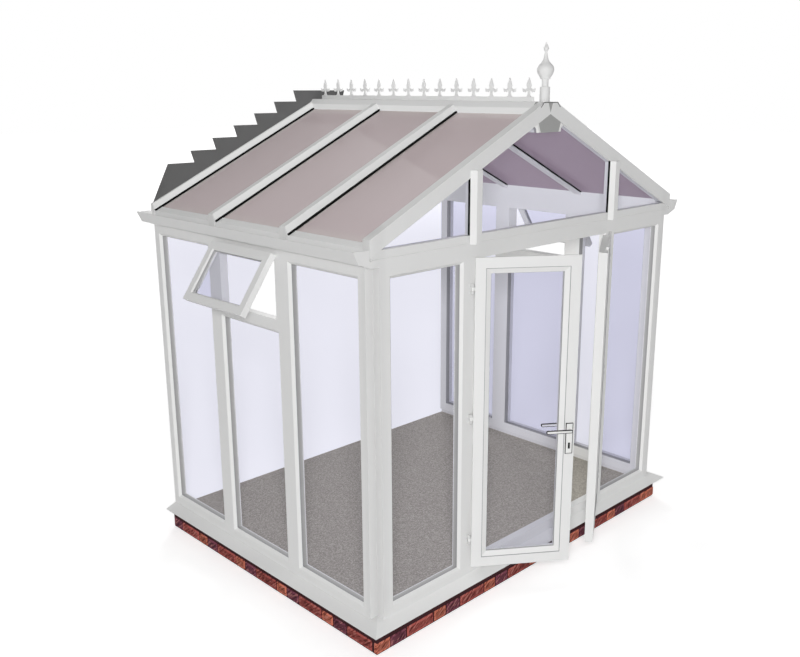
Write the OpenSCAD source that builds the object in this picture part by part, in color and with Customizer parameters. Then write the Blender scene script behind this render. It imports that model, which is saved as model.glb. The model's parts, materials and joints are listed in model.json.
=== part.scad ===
// Gable-fronted conservatory on a low brick plinth, open on its house side.
// Millimetres, +Z up. The origin is on the ground in the middle of the plinth's footprint. X runs across the
// gable, +Y points to the house wall and the doors look towards -Y. Sub-parts are drawn with the house wall
// as the plane y = 0, and at_house() moves them there.

/* [Plan] */
// Half the width over the outer faces of the side frames
wall_half = 1432; // [1300:1:1600]
// Distance from the house wall to the outer face of the front frame
front_out = 2172; // [2000:1:2500]
// Depth of the front frame, the left frame and the gable
frame_depth = 54; // [46:1:70]
// Depth of the right frame and of the eaves beams
side_depth = 96; // [80:1:110]
// How far the front frame stops short of each corner
corner_step = 70; // [60:1:90]
// Number of bays in each side wall
side_bays = 3; // [3:1:3]

/* [Plinth and floor] */
// Height of the brick plinth
plinth_h = 150; // [100:1:300]
// Thickness of the plinth walls
plinth_t = 103; // [90:1:150]
// How far the brick face stands out from the frames
plinth_proud = 24; // [10:1:40]
// Height of the sill from plinth to frame
sill_h = 35; // [28:1:60]
// How far the sill nose stands out from the frames
sill_nose = 76; // [50:1:100]
// Height of the upright edge of the sill nose
sill_edge = 4; // [2:1:10]

/* [Frames] */
// Height of the frames over the sill
frame_h = 2018; // [1800:1:2300]
// Sightline of a frame from its edge to the glass
sight = 70; // [55:1:90]
// Width and depth of the bevel beside the glass
bevel = 16; // [8:1:20]
// Thickness of the glass in walls, vents and gable
glass_t = 8; // [6:1:10]
// Depth of the wall glass behind the outer face of its frame
glass_in = 46; // [20:1:46]
// Half the width of the door frame between the fixed lights
door_half = 690; // [620:1:760]
// Face width of the door jambs
jamb_w = 40; // [30:1:60]
// Height of the head over the doors
head_h = 50; // [40:1:65]

/* [Vents] */
// Height of the vent opening under the top rail
vent_h = 343; // [280:1:450]
// Height of the transom
transom_h = 84; // [70:1:120]
// Angle at which the vents stand open
vent_open = 34.7; // [10:0.1:45]
// Overlap of the sash on its frame at the sides and bottom
vent_lap = 20; // [10:1:30]
// Overlap of the sash on its frame at the hinged top
vent_head_lap = 32; // [20:1:40]
// Thickness of the vent sash
sash_t = 40; // [30:1:50]
// Width of the sash members
sash_w = 55; // [40:1:65]
// Depth of the vent glass behind the sash's face
vent_glass_in = 26; // [12:1:26]
// Height and depth of the hinge strip over the sash
vent_strip = 10; // [6:1:14]

/* [Doors] */
// Angle at which the left leaf stands open
left_open = 36.5; // [0:0.1:80]
// Angle at which the right leaf stands open
right_open = 32; // [0:0.1:80]
// Overlap of the leaf's outer flange on the frame
flange_lap = 20; // [12:1:24]
// Overlap of the flange on the threshold
foot_lap = 17; // [10:1:24]
// Overlap of the flange on the head
head_lap = 12; // [8:1:20]
// Thickness of the outer flange
flange_t = 14; // [10:1:18]
// Thickness of the leaf behind the flange
leaf_t = 39; // [32:1:46]
// Running gap between flange and frame face
flange_gap = 5; // [5:1:8]
// Running gap round the leaf inside its frame
leaf_gap = 8; // [6:1:12]
// Half the distance between the flat edges of the closed leaves
meeting_half = 50; // [40:1:60]
// Running gap beside the meeting post
meeting_gap = 10; // [8:1:14]
// Sightline of the leaf members
leaf_sight = 95; // [80:1:110]
// Face width of the leaf members outside the glazing bead
leaf_face = 62; // [52:1:72]
// Depth of the step in front of the bead
bead_step = 3; // [1:1:5]
// Depth of the bead's bevel
bead_in = 18; // [12:1:20]
// Depth of the glass behind the leaf's face
leaf_glass_in = 30; // [22:1:32]
// Thickness of the leaf glass
leaf_glass_t = 8; // [6:1:10]

/* [Door furniture] */
// Height of the lever over the sill
lever_up = 922; // [800:1:1100]
// Length of the lever arm
lever_l = 140; // [100:1:160]
// Height of the lever arm
lever_h = 20; // [14:1:26]
// Thickness of the lever arm
lever_t = 12; // [8:1:16]
// Radius of the lever's neck
neck_r = 8; // [6:0.5:10]
// Length of the neck from the plate to the middle of the arm
neck_l = 34; // [26:1:45]
// Radius of the spindle
spindle_r = 4.5; // [3.5:0.5:6]
// Radial clearance round neck and spindle
turn_gap = 0.6; // [0.4:0.1:1]
// Width of the handle plate
plate_w = 46; // [40:1:54]
// Height of the handle plate
plate_h = 196; // [180:1:240]
// Thickness of the handle plate
plate_t = 6; // [4:1:8]
// Height of the plate over the spindle
plate_over = 42; // [30:1:60]
// Depth of the keyhole under the spindle
key_down = 102; // [80:1:120]
// Radius of the keyhole's round end
key_r = 5; // [4:0.5:6]
// Length of the keyhole's slot
key_l = 16; // [10:1:20]
// Radius of the hinge pin
pin_r = 5; // [4:0.5:6]
// Outer radius of the hinge knuckles
knuckle_r = 8; // [7:0.5:10]
// Distance of the hinge pin from the flange edge
pin_out = 12; // [11:0.5:16]
// Distance of the hinge pin from the frame face
pin_proud = 15; // [13:0.5:20]
// Height of one hinge
hinge_h = 60; // [48:1:120]
// Distance of the outer hinges from the ends of the leaf
hinge_in = 130; // [90:1:200]
// Radial and end clearance of the hinge knuckles
hinge_gap = 0.4; // [0.3:0.1:0.8]

/* [Roof] */
// Pitch of both slopes in degrees
pitch = 25.2; // [20:0.1:32]
// Height of the glazing plane over the frames at the eaves
eaves_up = 97.2; // [80:0.1:130]
// Thickness of the roof sheets
sheet_t = 25; // [16:1:32]
// Height of the gable bars over the sheets
bar_up = 49; // [46:1:60]
// Height of the bar caps over the sheets
cap_up = 45; // [30:1:45]
// Width of the bar caps at their foot
cap_w = 94; // [80:1:110]
// Run of a cap's raked side
cap_rake = 26; // [10:1:34]
// Depth of the bars under the sheets
bar_down = 20; // [12:1:30]
// Width of the glazing bars under their caps
bar_w = 60; // [45:1:70]
// Width of the half cap at the house wall
wall_bar_w = 45; // [40:1:60]
// How much further apart the bars are than the posts under them
bar_gain = 20; // [0:1:30]
// Reach of the sheets past the frames
sheet_reach = 4; // [2:1:20]
// Reach of the bars past the frames
bar_reach = 10; // [6:1:25]
// Height of the gable bar's face measured upright
fascia_h = 94; // [80:1:104]
// Play between a sloping seat and what lies on it
seat_gap = 0.2; // [0.1:0.1:0.5]

/* [Ridge] */
// Half width of the ridge cap at its sides
ridge_half = 90; // [75:1:110]
// Half width of the ridge cap's flat top
ridge_top_half = 66; // [45:1:70]
// Height of the ridge cap's top over the glazing plane's apex
ridge_up = 30; // [24:1:45]
// Height of the chamfer on the ridge cap
ridge_chamfer = 34; // [20:1:40]
// Half width of the ridge beam at its shoulders
beam_half = 104; // [95:1:120]
// Half width of the ridge beam's soffit
soffit_half = 82; // [60:1:90]
// Height of the ridge beam under the bars
beam_drop = 96; // [80:1:130]
// Thickness of the plate that closes the ridge cap
end_plate_t = 10; // [4:1:16]
// Half width of the open V between the gable bars
apex_half = 23; // [12:1:30]
// Height over which the gable bars meet under the V
apex_foot = 6; // [4:1:12]

/* [Cresting and finial] */
// Number of fleurs
fleurs = 14; // [10:1:14]
// Distance of the last fleur from the back of the gable bars
fleur_last = 113.6; // [90:0.1:140]
// Distance of the first fleur from the house wall
fleur_first = 76.5; // [60:0.5:90]
// Height of a fleur over its strip
fleur_h = 114; // [90:1:140]
// Thickness of the cresting
fleur_t = 10; // [6:1:14]
// Height of the strip under the fleurs
strip_h = 28; // [16:1:40]
// Distance of the finial from the front face
finial_in = 48; // [40:1:70]
// Height of the finial
finial_h = 338; // [280:1:400]
// Radius of the finial's base
finial_r = 30; // [22:1:34]

/* [Gutter] */
// Reach of the gutter's lip from the frame
gutter_lip = 120; // [100:1:150]
// Height of the gutter's lip over the frame top
gutter_lip_h = 97; // [80:1:120]
// Reach of the gutter's lower edge from the frame
gutter_foot = 87; // [60:1:95]
// Height of the gutter's lower edge over the frame top
gutter_foot_h = 30; // [15:1:45]
// Wall of the gutter
gutter_wall = 5; // [4:0.5:8]
// Height of the gutter's back wall
gutter_back_h = 36; // [30:1:44]

/* [Gable] */
// Height of the tie beam
tie_h = 86; // [70:1:110]
// Height of the tie beam's lower band
tie_band = 42; // [30:1:60]
// Setback of the tie beam's upper band
tie_step = 6; // [2:1:12]
// Width of the gable posts between the glass
gable_post_w = 60; // [40:1:70]
// Width of the raked covers on the gable posts
gable_cover_w = 96; // [80:1:110]
// Width of the flat between the bevels of the covers
gable_post_flat = 44; // [20:1:50]
// How far the covers stand proud of the front
gable_post_proud = 28; // [6:1:32]
// Distance of the left gable post from the middle
gable_post_left = 650; // [600:1:720]
// Distance of the right gable post from the middle
gable_post_right = 705; // [600:1:720]
// How far the posts reach down over the tie beam
gable_post_lap = 50; // [30:1:60]
// How far the posts reach up over the gable bars
gable_post_rise = 20; // [10:1:50]
// Setback of the gable glass from the front face
gable_glass_in = 16; // [10:1:24]

/* [Flashing] */
// Thickness of the lead
lead_t = 6; // [4:1:10]
// Number of steps on each slope
lead_steps = 7; // [7:1:7]
// Distance of the lowest corner from the frame's outer face
lead_in = 5; // [2:1:60]
// Distance of the first step's corner from the frame's outer face
lead_first_in = 131; // [100:1:180]
// Height of the first step's corner over the bars
lead_up = 178; // [140:1:220]
// Half width of the level top over the ridge
lead_top_half = 242; // [200:1:300]
// Height of the level top over the ridge cap
lead_top_up = 62.8; // [50:0.1:90]
// Overhang of one step over the next
lead_hook = 25; // [10:1:40]

/* [Hidden] */
$fn = 48;
eps = 1;
house_y = (front_out + plinth_proud) / 2;
side_len = front_out - frame_depth;
bay = side_len / side_bays;
front_half = wall_half - corner_step;
sill_top = plinth_h + sill_h;
frame_top = sill_top + frame_h;
glass_low = sill_top + sight;
glass_high = frame_top - sight;
head_low = frame_top - head_h;
transom_high = glass_high - vent_h;
transom_low = transom_high - transom_h;
sill_in = plinth_t - plinth_proud;
door_reveal = door_half - jamb_w;
pane_in = min(glass_in, frame_depth - glass_t);
vent_low = transom_high - vent_lap;
vent_top = glass_high + vent_head_lap;
slope = tan(pitch);
glaze_z = frame_top + eaves_up + slope * wall_half;
bar_top_z = glaze_z + bar_up / cos(pitch);
cap_top_z = glaze_z + cap_up / cos(pitch);
cap_lip = (cap_w - bar_w) / 2;
sheet_low_z = glaze_z - sheet_t / cos(pitch);
bar_low_z = glaze_z - (sheet_t + bar_down) / cos(pitch);
fascia_low_z = bar_top_z - fascia_h;
under_fascia_z = fascia_low_z - seat_gap;
ridge_z = glaze_z + ridge_up;
tie_top = frame_top + tie_h;
tie_reach = (under_fascia_z - tie_top) / slope;
gable_back = front_out - frame_depth;
lead_low = wall_half - lead_in;
lead_first = wall_half - lead_first_in;
lead_first_z = bar_top_z - slope * lead_first + lead_up;
lead_run = (lead_first - lead_top_half) / (lead_steps - 1);
lead_rise = (ridge_z + lead_top_up - lead_first_z) / (lead_steps - 1);
bar_pitch = bay + bar_gain;
fleur_pitch = (gable_back - fleur_first - fleur_last) / (fleurs - 1);
bar_fronts = [wall_bar_w, wall_bar_w + bar_pitch, wall_bar_w + 2 * bar_pitch];
bar_backs = [0, bar_fronts[1] - cap_w, bar_fronts[2] - cap_w];
sheet_starts = [for (front = bar_fronts) front - cap_lip];
sheet_ends = [bar_backs[1] + cap_lip, bar_backs[2] + cap_lip, gable_back];
flange_out = door_reveal + flange_lap;
flange_face = front_out + flange_gap + flange_t;
leaf_front = front_out + flange_gap;
leaf_back = leaf_front - leaf_t;
leaf_out = door_reveal - leaf_gap;
flange_low = glass_low - foot_lap;
flange_high = head_low + head_lap;
leaf_low = glass_low + leaf_gap;
leaf_high = head_low - leaf_gap;
pin_x = flange_out + pin_out;
pin_y = front_out + pin_proud;
hinge_zs = [for (i = [0:2]) leaf_low + hinge_in + i * (leaf_high - leaf_low - 2 * hinge_in - hinge_h) / 2];
lever_x = meeting_half + (leaf_face + bead_step) / 2;
lever_z = sill_top + lever_up;
plate_high = lever_z + plate_over;
white = "#dedfdc";
pane = [0.87, 0.87, 0.95, 0.5];

// Moves the house wall from y = 0 to the back of the footprint
module at_house() { translate([0, house_y, 0]) children(); }

// Height of a roof line at distance x from the ridge
function fall(z, x) = z - slope * x;

// A wall is drawn with its outer face on y = 0, its inside towards +Y and its length along X
module on_left() { translate([-wall_half, 0, 0]) rotate([0, 0, -90]) children(); }
module on_right() { mirror([1, 0, 0]) on_left() children(); }
module on_front() { translate([0, -front_out, 0]) children(); }

// Prism of an outline in the XZ plane, from house distance a to b
module across(a, b) { translate([0, -a, 0]) rotate([90, 0, 0]) linear_extrude(b - a) children(); }

// Prism of an outline of [y, z] points along X
module along(a, b) { translate([a, 0, 0]) rotate([90, 0, 90]) linear_extrude(b - a) children(); }

// Opening for glass: straight behind the bevel, and widened by w between depths y0 and y1
module glazed_cut(u0, u1, z0, z1, depth, w, y0, y1) {
    translate([u0, -eps, z0]) cube([u1 - u0, depth + 2 * eps, z1 - z0]);
    intersection() {
        translate([0, 0, z0 - w]) linear_extrude(z1 - z0 + 2 * w)
            polygon([[u0 - w, -eps], [u1 + w, -eps], [u1 + w, y0], [u1, y1], [u0, y1], [u0 - w, y0]]);
        along(u0 - w, u1 + w)
            polygon([[-eps, z0 - w], [y0, z0 - w], [y1, z0], [y1, z1], [y0, z1 + w], [-eps, z1 + w]]);
    }
}

module pane_of(u0, u1, z0, z1, y, t) { translate([u0, y, z0]) cube([u1 - u0, t, z1 - z0]); }

// Side wall, three bays with a vent over a transom in the middle one
module side_frame(depth) {
    difference() {
        translate([0, 0, sill_top]) {
            cube([side_len, frame_depth, frame_h]);
            cube([front_out - sill_in, depth, frame_h]);
        }
        for (i = [0, 2])
            glazed_cut(i * bay + sight, (i + 1) * bay - sight, glass_low, glass_high,
                depth, bevel, 0, bevel);
        glazed_cut(bay + sight, 2 * bay - sight, glass_low, transom_low, depth, bevel, 0, bevel);
        pane_of(bay + sight, 2 * bay - sight, transom_high, glass_high, -eps, side_depth + 2 * eps);
    }
}

module side_transom_space() {
    pane_of(bay + sight, 2 * bay - sight, transom_low, transom_high, -eps, side_depth + 2 * eps);
}

module middle_band(half) {
    translate([-half, -eps, glass_low]) cube([2 * half, side_depth + 2 * eps, glass_high - glass_low]);
}

module side_posts(depth) {
    difference() {
        intersection() { side_frame(depth); middle_band(side_len); }
        side_transom_space();
    }
}

module side_rails(depth) {
    difference() { side_frame(depth); middle_band(side_len); }
    intersection() { side_frame(depth); side_transom_space(); }
}

module side_glass() {
    for (i = [0, 2])
        pane_of(i * bay + sight, (i + 1) * bay - sight, glass_low, glass_high, pane_in, glass_t);
    pane_of(bay + sight, 2 * bay - sight, glass_low, transom_low, pane_in, glass_t);
}

// Top-hung sash, swung out about its upper inner edge
module vent_swing() {
    translate([0, 0, vent_top]) rotate([-vent_open, 0, 0]) translate([0, 0, -vent_top]) children();
}

module vent_sash() {
    u0 = bay + sight - vent_lap;
    u1 = 2 * bay - sight + vent_lap;
    vent_swing() difference() {
        translate([u0, -sash_t, vent_low]) cube([u1 - u0, sash_t, vent_top - vent_low]);
        translate([0, -sash_t, 0]) glazed_cut(u0 + sash_w, u1 - sash_w, vent_low + sash_w, vent_top - sash_w,
            sash_t, bevel / 2, 0, bevel / 2);
    }
    translate([u0, -vent_strip, vent_top - 2]) cube([u1 - u0, vent_strip, vent_strip + 2]);
}

module vent_glass() {
    u0 = bay + sight - vent_lap;
    u1 = 2 * bay - sight + vent_lap;
    vent_swing() pane_of(u0 + sash_w, u1 - sash_w, vent_low + sash_w, vent_top - sash_w,
        vent_glass_in - sash_t, glass_t);
}

// Front wall, a fixed light on each side of the doorway
module front_frame() {
    difference() {
        translate([-front_half, 0, sill_top]) cube([2 * front_half, frame_depth, frame_h]);
        for (s = [0, 1]) mirror([s, 0, 0])
            glazed_cut(door_half + sight, front_half - sight, glass_low, glass_high,
                frame_depth, bevel, 0, bevel);
        pane_of(-door_reveal, door_reveal, glass_low, head_low, -eps, frame_depth + 2 * eps);
    }
}

module front_posts() {
    difference() {
        intersection() { front_frame(); middle_band(wall_half); }
        pane_of(-door_reveal, door_reveal, glass_low, frame_top, -eps, frame_depth + 2 * eps);
    }
}

module front_rails() {
    difference() { front_frame(); front_posts(); }
}

module front_panes() {
    for (s = [0, 1]) mirror([s, 0, 0])
        pane_of(door_half + sight, front_half - sight, glass_low, glass_high, pane_in, glass_t);
}

// Sill section, mitred in plan at the front corners
module sill_section(a, b) {
    along(a, b) polygon([[-sill_nose, plinth_h], [-sill_nose, plinth_h + sill_edge], [0, sill_top],
        [sill_in, sill_top], [sill_in, plinth_h]]);
}

module side_sill() {
    intersection() {
        sill_section(0, front_out + sill_nose);
        linear_extrude(frame_top) polygon([[0, -sill_nose], [front_out + sill_nose, -sill_nose],
            [front_out - sill_in, sill_in], [0, sill_in]]);
    }
}

module front_sill_run() {
    intersection() {
        sill_section(-wall_half - sill_nose, wall_half + sill_nose);
        linear_extrude(frame_top) polygon([[-wall_half - sill_nose, -sill_nose],
            [wall_half + sill_nose, -sill_nose], [wall_half - sill_in, sill_in],
            [-wall_half + sill_in, sill_in]]);
    }
}

// Trim that fills the step between side and front frames and backs both
module corner_post() {
    x0 = wall_half - frame_depth;
    x1 = wall_half - sill_in;
    y0 = front_out - frame_depth;
    y1 = front_out - sill_in;
    translate([0, 0, sill_top]) linear_extrude(frame_h)
        polygon([[-x0, -y1], [-x0, -front_out], [-front_half, -front_out], [-front_half, -y0],
            [-x1, -y0], [-x1, -y1]]);
}

// Roof sections, right slope
module bar_outline() {
    foot = wall_half + bar_reach;
    top = glaze_z + cap_up / 2;
    polygon([[ridge_half, fall(top, ridge_half)], [foot, fall(top, foot)],
        [foot, fall(bar_low_z, foot)], [ridge_half, fall(bar_low_z, ridge_half)]]);
}

// Cap with raked sides that clamps the sheets, from house distance a to b, cut square at both ends
module bar_cap(a, b) {
    back_rake = a > 0 ? cap_rake : 0;
    intersection() {
        translate([0, 0, glaze_z]) rotate([0, pitch, 0]) along(-wall_half, 2 * wall_half)
            polygon([[-b, seat_gap], [cap_rake - b, cap_up], [-a - back_rake, cap_up], [-a, seat_gap]]);
        translate([ridge_half, -b - eps, frame_top])
            cube([wall_half + bar_reach - ridge_half, b - a + 2 * eps, ridge_z]);
    }
}

module sheet_outline() {
    foot = wall_half + sheet_reach;
    polygon([[ridge_half, fall(glaze_z, ridge_half)], [foot, fall(glaze_z, foot)],
        [foot, fall(sheet_low_z, foot)], [ridge_half, fall(sheet_low_z, ridge_half)]]);
}

module gable_bar_outline() {
    foot = wall_half + bar_reach;
    polygon([[0, fascia_low_z], [0, fascia_low_z + apex_foot], [apex_half, ridge_z],
        [(bar_top_z - ridge_z) / slope, ridge_z], [foot, fall(bar_top_z, foot)],
        [foot, fall(fascia_low_z, foot)]]);
}

module roof_bars() {
    for (i = [0:2]) {
        across(max(0, bar_backs[i] + (i > 0 ? cap_lip : 0)), sheet_starts[i]) bar_outline();
        bar_cap(bar_backs[i], bar_fronts[i]);
    }
}

module roof_sheets() { for (i = [0:2]) across(sheet_starts[i], sheet_ends[i]) sheet_outline(); }

module gable_bar() { across(gable_back, front_out) gable_bar_outline(); }

// Beam on the side frames, notched for the bars that rest on it
module eaves_beam() {
    x0 = wall_half - side_depth;
    difference() {
        across(0, gable_back) polygon([[x0, frame_top], [wall_half, frame_top],
            [wall_half, fall(sheet_low_z - seat_gap, wall_half)], [x0, fall(sheet_low_z - seat_gap, x0)]]);
        roof_bars();
    }
}

// Open channel with a sloping floor and a raked lip, closed at both ends
module gutter() {
    across(0, front_out) translate([wall_half, frame_top])
        polygon([[0, 0], [gutter_foot, gutter_foot_h], [gutter_lip, gutter_lip_h],
            [gutter_lip - gutter_wall, gutter_lip_h],
            [gutter_foot - gutter_wall, gutter_foot_h + gutter_wall],
            [gutter_wall, gutter_wall * 1.5], [gutter_wall, gutter_back_h], [0, gutter_back_h]]);
    for (a = [0, front_out - gutter_wall]) across(a, a + gutter_wall) translate([wall_half, frame_top])
        polygon([[0, 0], [gutter_foot, gutter_foot_h], [gutter_lip, gutter_lip_h],
            [bar_reach + 2, gutter_lip_h], [bar_reach + 2, gutter_back_h], [0, gutter_back_h]]);
}

module tie() {
    intersection() {
        across(gable_back, front_out) polygon([[-wall_half, frame_top], [wall_half, frame_top],
            [wall_half, fall(under_fascia_z, wall_half)], [tie_reach, tie_top],
            [-tie_reach, tie_top], [-wall_half, fall(under_fascia_z, wall_half)]]);
        along(-wall_half, wall_half) polygon([[-gable_back, frame_top], [-front_out, frame_top],
            [-front_out, frame_top + tie_band], [tie_step - front_out, frame_top + tie_band],
            [tie_step - front_out, tie_top], [-gable_back, tie_top]]);
    }
}

module gable_post(x) {
    x0 = x - gable_post_w / 2;
    x1 = x + gable_post_w / 2;
    low = tie_top - gable_post_lap;
    high = fall(fascia_low_z, x) + gable_post_rise;
    translate([x, -front_out, low]) linear_extrude(high - low)
        polygon([[-gable_cover_w / 2, 0], [-gable_post_flat / 2, -gable_post_proud],
            [gable_post_flat / 2, -gable_post_proud], [gable_cover_w / 2, 0]]);
    across(gable_back + eps, front_out)
        polygon([[x0, tie_top], [x1, tie_top], [x1, fall(under_fascia_z, x1)],
            [x0, fall(under_fascia_z, x0)]]);
}

module boss_outline() {
    polygon([[0, under_fascia_z], [beam_half, fall(under_fascia_z, beam_half)],
        [soffit_half, bar_low_z - beam_drop], [-soffit_half, bar_low_z - beam_drop],
        [-beam_half, fall(under_fascia_z, beam_half)]]);
}

module gable_panes() {
    left = gable_post_left - gable_post_w / 2;
    right = gable_post_right - gable_post_w / 2;
    a = front_out - gable_glass_in - glass_t;
    across(a, a + glass_t)
        polygon([[-left, tie_top], [right, tie_top], [right, fall(under_fascia_z, right)],
            [beam_half, fall(under_fascia_z, beam_half)], [soffit_half, bar_low_z - beam_drop],
            [-soffit_half, bar_low_z - beam_drop], [-beam_half, fall(under_fascia_z, beam_half)],
            [-left, fall(under_fascia_z, left)]]);
    for (end = [[1, right], [-1, left]]) across(a, a + glass_t) scale([end[0], 1])
        gable_corner(end[1] + gable_post_w);
}

module gable_corner(x) {
    polygon([[x, tie_top], [tie_reach, tie_top], [x, fall(under_fascia_z, x)]]);
}

module ridge_cap_outline() {
    polygon([[0, bar_low_z], [ridge_half, fall(bar_low_z, ridge_half)], [ridge_half, ridge_z - ridge_chamfer],
        [ridge_top_half, ridge_z], [-ridge_top_half, ridge_z], [-ridge_half, ridge_z - ridge_chamfer],
        [-ridge_half, fall(bar_low_z, ridge_half)]]);
}

module ridge_beam_outline() {
    top = bar_low_z - seat_gap;
    polygon([[0, top], [beam_half, fall(top, beam_half)], [soffit_half, bar_low_z - beam_drop],
        [-soffit_half, bar_low_z - beam_drop], [-beam_half, fall(top, beam_half)]]);
}

// One fleur: spear, a two-lobed leaf on each side and a flared stem, as shares of its height
module fleur_outline() {
    half = [[0.045, 0.88], [0.095, 0.76], [0.14, 0.65], [0.152, 0.58], [0.125, 0.5], [0.09, 0.43],
        [0.17, 0.44], [0.24, 0.37], [0.43, 0.44], [0.41, 0.33], [0.36, 0.24], [0.3, 0.31],
        [0.23, 0.22], [0.17, 0.31], [0.09, 0.33], [0.065, 0.22], [0.11, 0.06], [0.19, 0]];
    last = len(half) - 1;
    polygon(fleur_h * concat([[0, 1]], half, [for (i = [0:last]) [-half[last - i][0], half[last - i][1]]]));
}

module cresting() {
    last = fleur_first + (fleurs - 1) * fleur_pitch;
    translate([-fleur_t / 2, -last - fleur_first / 2, ridge_z]) cube([fleur_t, last, strip_h]);
    for (i = [0:fleurs - 1])
        translate([fleur_t / 2, -fleur_first - i * fleur_pitch, ridge_z + strip_h - eps])
            rotate([90, 0, -90]) linear_extrude(fleur_t) fleur_outline();
}

// Turned finial: plinth, neck, collar, bulb, drawn-out spire and a small bud
module finial_turning() {
    h = finial_h;
    r = finial_r;
    translate([0, -front_out + finial_in, ridge_z]) rotate_extrude() {
        square([r, 0.252 * h]);
        translate([0, 0.25 * h]) square([0.66 * r, 0.14 * h]);
        translate([0, 0.385 * h]) square([r, 0.02 * h]);
        polygon([[0, 0.4 * h], [r, 0.4 * h], [1.24 * r, 0.44 * h], [1.55 * r, 0.49 * h], [1.68 * r, 0.54 * h],
            [1.58 * r, 0.59 * h], [1.25 * r, 0.63 * h], [0.88 * r, 0.66 * h], [0.6 * r, 0.7 * h],
            [0.4 * r, 0.75 * h], [0.28 * r, 0.81 * h], [0.25 * r, 0.845 * h], [0.44 * r, 0.866 * h],
            [0.53 * r, 0.889 * h], [0.46 * r, 0.915 * h], [0.24 * r, 0.95 * h], [0, h]]);
    }
}

// Stepped lead sheet along one slope, right side
module flashing_outline() {
    polygon(concat(
        [[0, ridge_z], [ridge_top_half, ridge_z], [ridge_half, fall(cap_top_z + seat_gap, ridge_half)],
            [lead_low, fall(cap_top_z + seat_gap, lead_low)]],
        [for (k = [0:lead_steps - 1], end = [0, 1])
            [max(0, lead_first - k * lead_run
                - end * (k < lead_steps - 1 ? lead_run + lead_hook : lead_first)),
                lead_first_z + k * lead_rise]]));
}

// Door leaf in its closed place, left side
module leaf_swing(angle) {
    translate([-pin_x, -pin_y, 0]) rotate([0, 0, -angle]) translate([pin_x, pin_y, 0]) children();
}

module leaf_solid() {
    translate([-flange_out, -flange_face, flange_low])
        cube([flange_out - meeting_half, flange_t, flange_high - flange_low]);
    translate([-leaf_out, -leaf_front, leaf_low])
        cube([leaf_out - meeting_half, leaf_t, leaf_high - leaf_low]);
}

module leaf_frame() {
    difference() {
        leaf_solid();
        translate([0, -flange_face, 0]) glazed_cut(leaf_sight - flange_out, -leaf_sight - meeting_half,
            flange_low + leaf_sight, flange_high - leaf_sight, flange_t + leaf_t, leaf_sight - leaf_face,
            bead_step, bead_in);
    }
    for (z = hinge_zs) leaf_knuckle(z);
}

// Middle knuckle with its tab to the flange edge
module leaf_knuckle(z) {
    third = hinge_h / 3;
    translate([-pin_x, -pin_y, z + third + hinge_gap]) difference() {
        union() {
            cylinder(r = knuckle_r, h = third - 2 * hinge_gap);
            translate([0, -flange_face + pin_y, 0])
                cube([pin_x - flange_out + eps, knuckle_r + flange_face - pin_y, third - 2 * hinge_gap]);
        }
        translate([0, 0, -eps]) cylinder(r = pin_r + hinge_gap, h = third + 2 * eps);
    }
}

module leaf_pane() {
    translate([0, -flange_face, 0]) pane_of(leaf_sight - flange_out, -leaf_sight - meeting_half,
        flange_low + leaf_sight, flange_high - leaf_sight, leaf_glass_in, leaf_glass_t);
}

// Fixed knuckles with the pin and a block back to the jamb
module hinge_bracket(z) {
    third = hinge_h / 3;
    translate([-pin_x, -pin_y, z]) {
        cylinder(r = pin_r, h = hinge_h);
        for (up = [0, 2 * third]) translate([0, 0, up]) {
            cylinder(r = knuckle_r, h = third);
            translate([-knuckle_r, 0, 0]) cube([2 * knuckle_r, pin_y - front_out, third]);
        }
    }
}

module lever_bore(r) {
    translate([-lever_x, eps - leaf_back, lever_z]) rotate([90, 0, 0])
        cylinder(r = r, h = flange_t + leaf_t + 2 * eps);
}

module plate_solid() {
    translate([-lever_x - plate_w / 2, 0, plate_high - plate_h]) cube([plate_w, plate_t, plate_h]);
}

module key_slot(y) {
    translate([-lever_x, y, lever_z - key_down]) rotate([-90, 0, 0]) {
        cylinder(r = key_r, h = plate_t + 2 * eps);
        translate([-key_r / 2, 0, 0]) cube([key_r, key_l, plate_t + 2 * eps]);
    }
}

module plates() {
    for (y = [-flange_face - plate_t, -leaf_back]) difference() {
        translate([0, y, 0]) plate_solid();
        translate([-lever_x, y - eps, lever_z]) rotate([-90, 0, 0])
            cylinder(r = neck_r + turn_gap, h = plate_t + 2 * eps);
        key_slot(y - eps);
    }
}

// Spindle with a neck and a round-ended arm on each side
module lever_pair() {
    outer = flange_face + neck_l;
    inner = leaf_back - neck_l;
    translate([-lever_x, -inner, lever_z]) rotate([90, 0, 0]) cylinder(r = spindle_r, h = outer - inner);
    for (end = [[outer, flange_face], [leaf_back, inner]])
        translate([-lever_x, -end[1], lever_z]) rotate([90, 0, 0]) cylinder(r = neck_r, h = end[0] - end[1]);
    for (y = [outer, inner]) translate([-lever_x, lever_t / 2 - y, lever_z]) rotate([90, 0, 0])
        linear_extrude(lever_t) {
            circle(r = lever_h / 2);
            translate([-lever_l, -lever_h / 2]) square([lever_l, lever_h]);
            translate([-lever_l, 0]) circle(r = lever_h / 2);
        }
}

module plinth_front() {
    half = wall_half + plinth_proud - plinth_t;
    color("#8a413c") at_house() translate([-half, -front_out - plinth_proud, 0])
        cube([2 * half, plinth_t, plinth_h]);
}
module plinth_side() {
    translate([-wall_half - plinth_proud, -front_out - plinth_proud, 0])
        cube([plinth_t, front_out + plinth_proud, plinth_h]);
}
module plinth_left() { color("#8a413c") at_house() plinth_side(); }
module plinth_right() { color("#8a413c") at_house() mirror([1, 0, 0]) plinth_side(); }
module floor_slab() {
    color("#8f867f") at_house() translate([sill_in - wall_half, sill_in - front_out, 0])
        cube([2 * (wall_half - sill_in), front_out - sill_in, plinth_h]);
}
module front_sill() { color(white) at_house() on_front() front_sill_run(); }
module left_sill() { color(white) at_house() on_left() side_sill(); }
module right_sill() { color(white) at_house() on_right() side_sill(); }
module left_frame_posts() { color(white) at_house() on_left() side_posts(frame_depth); }
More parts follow.
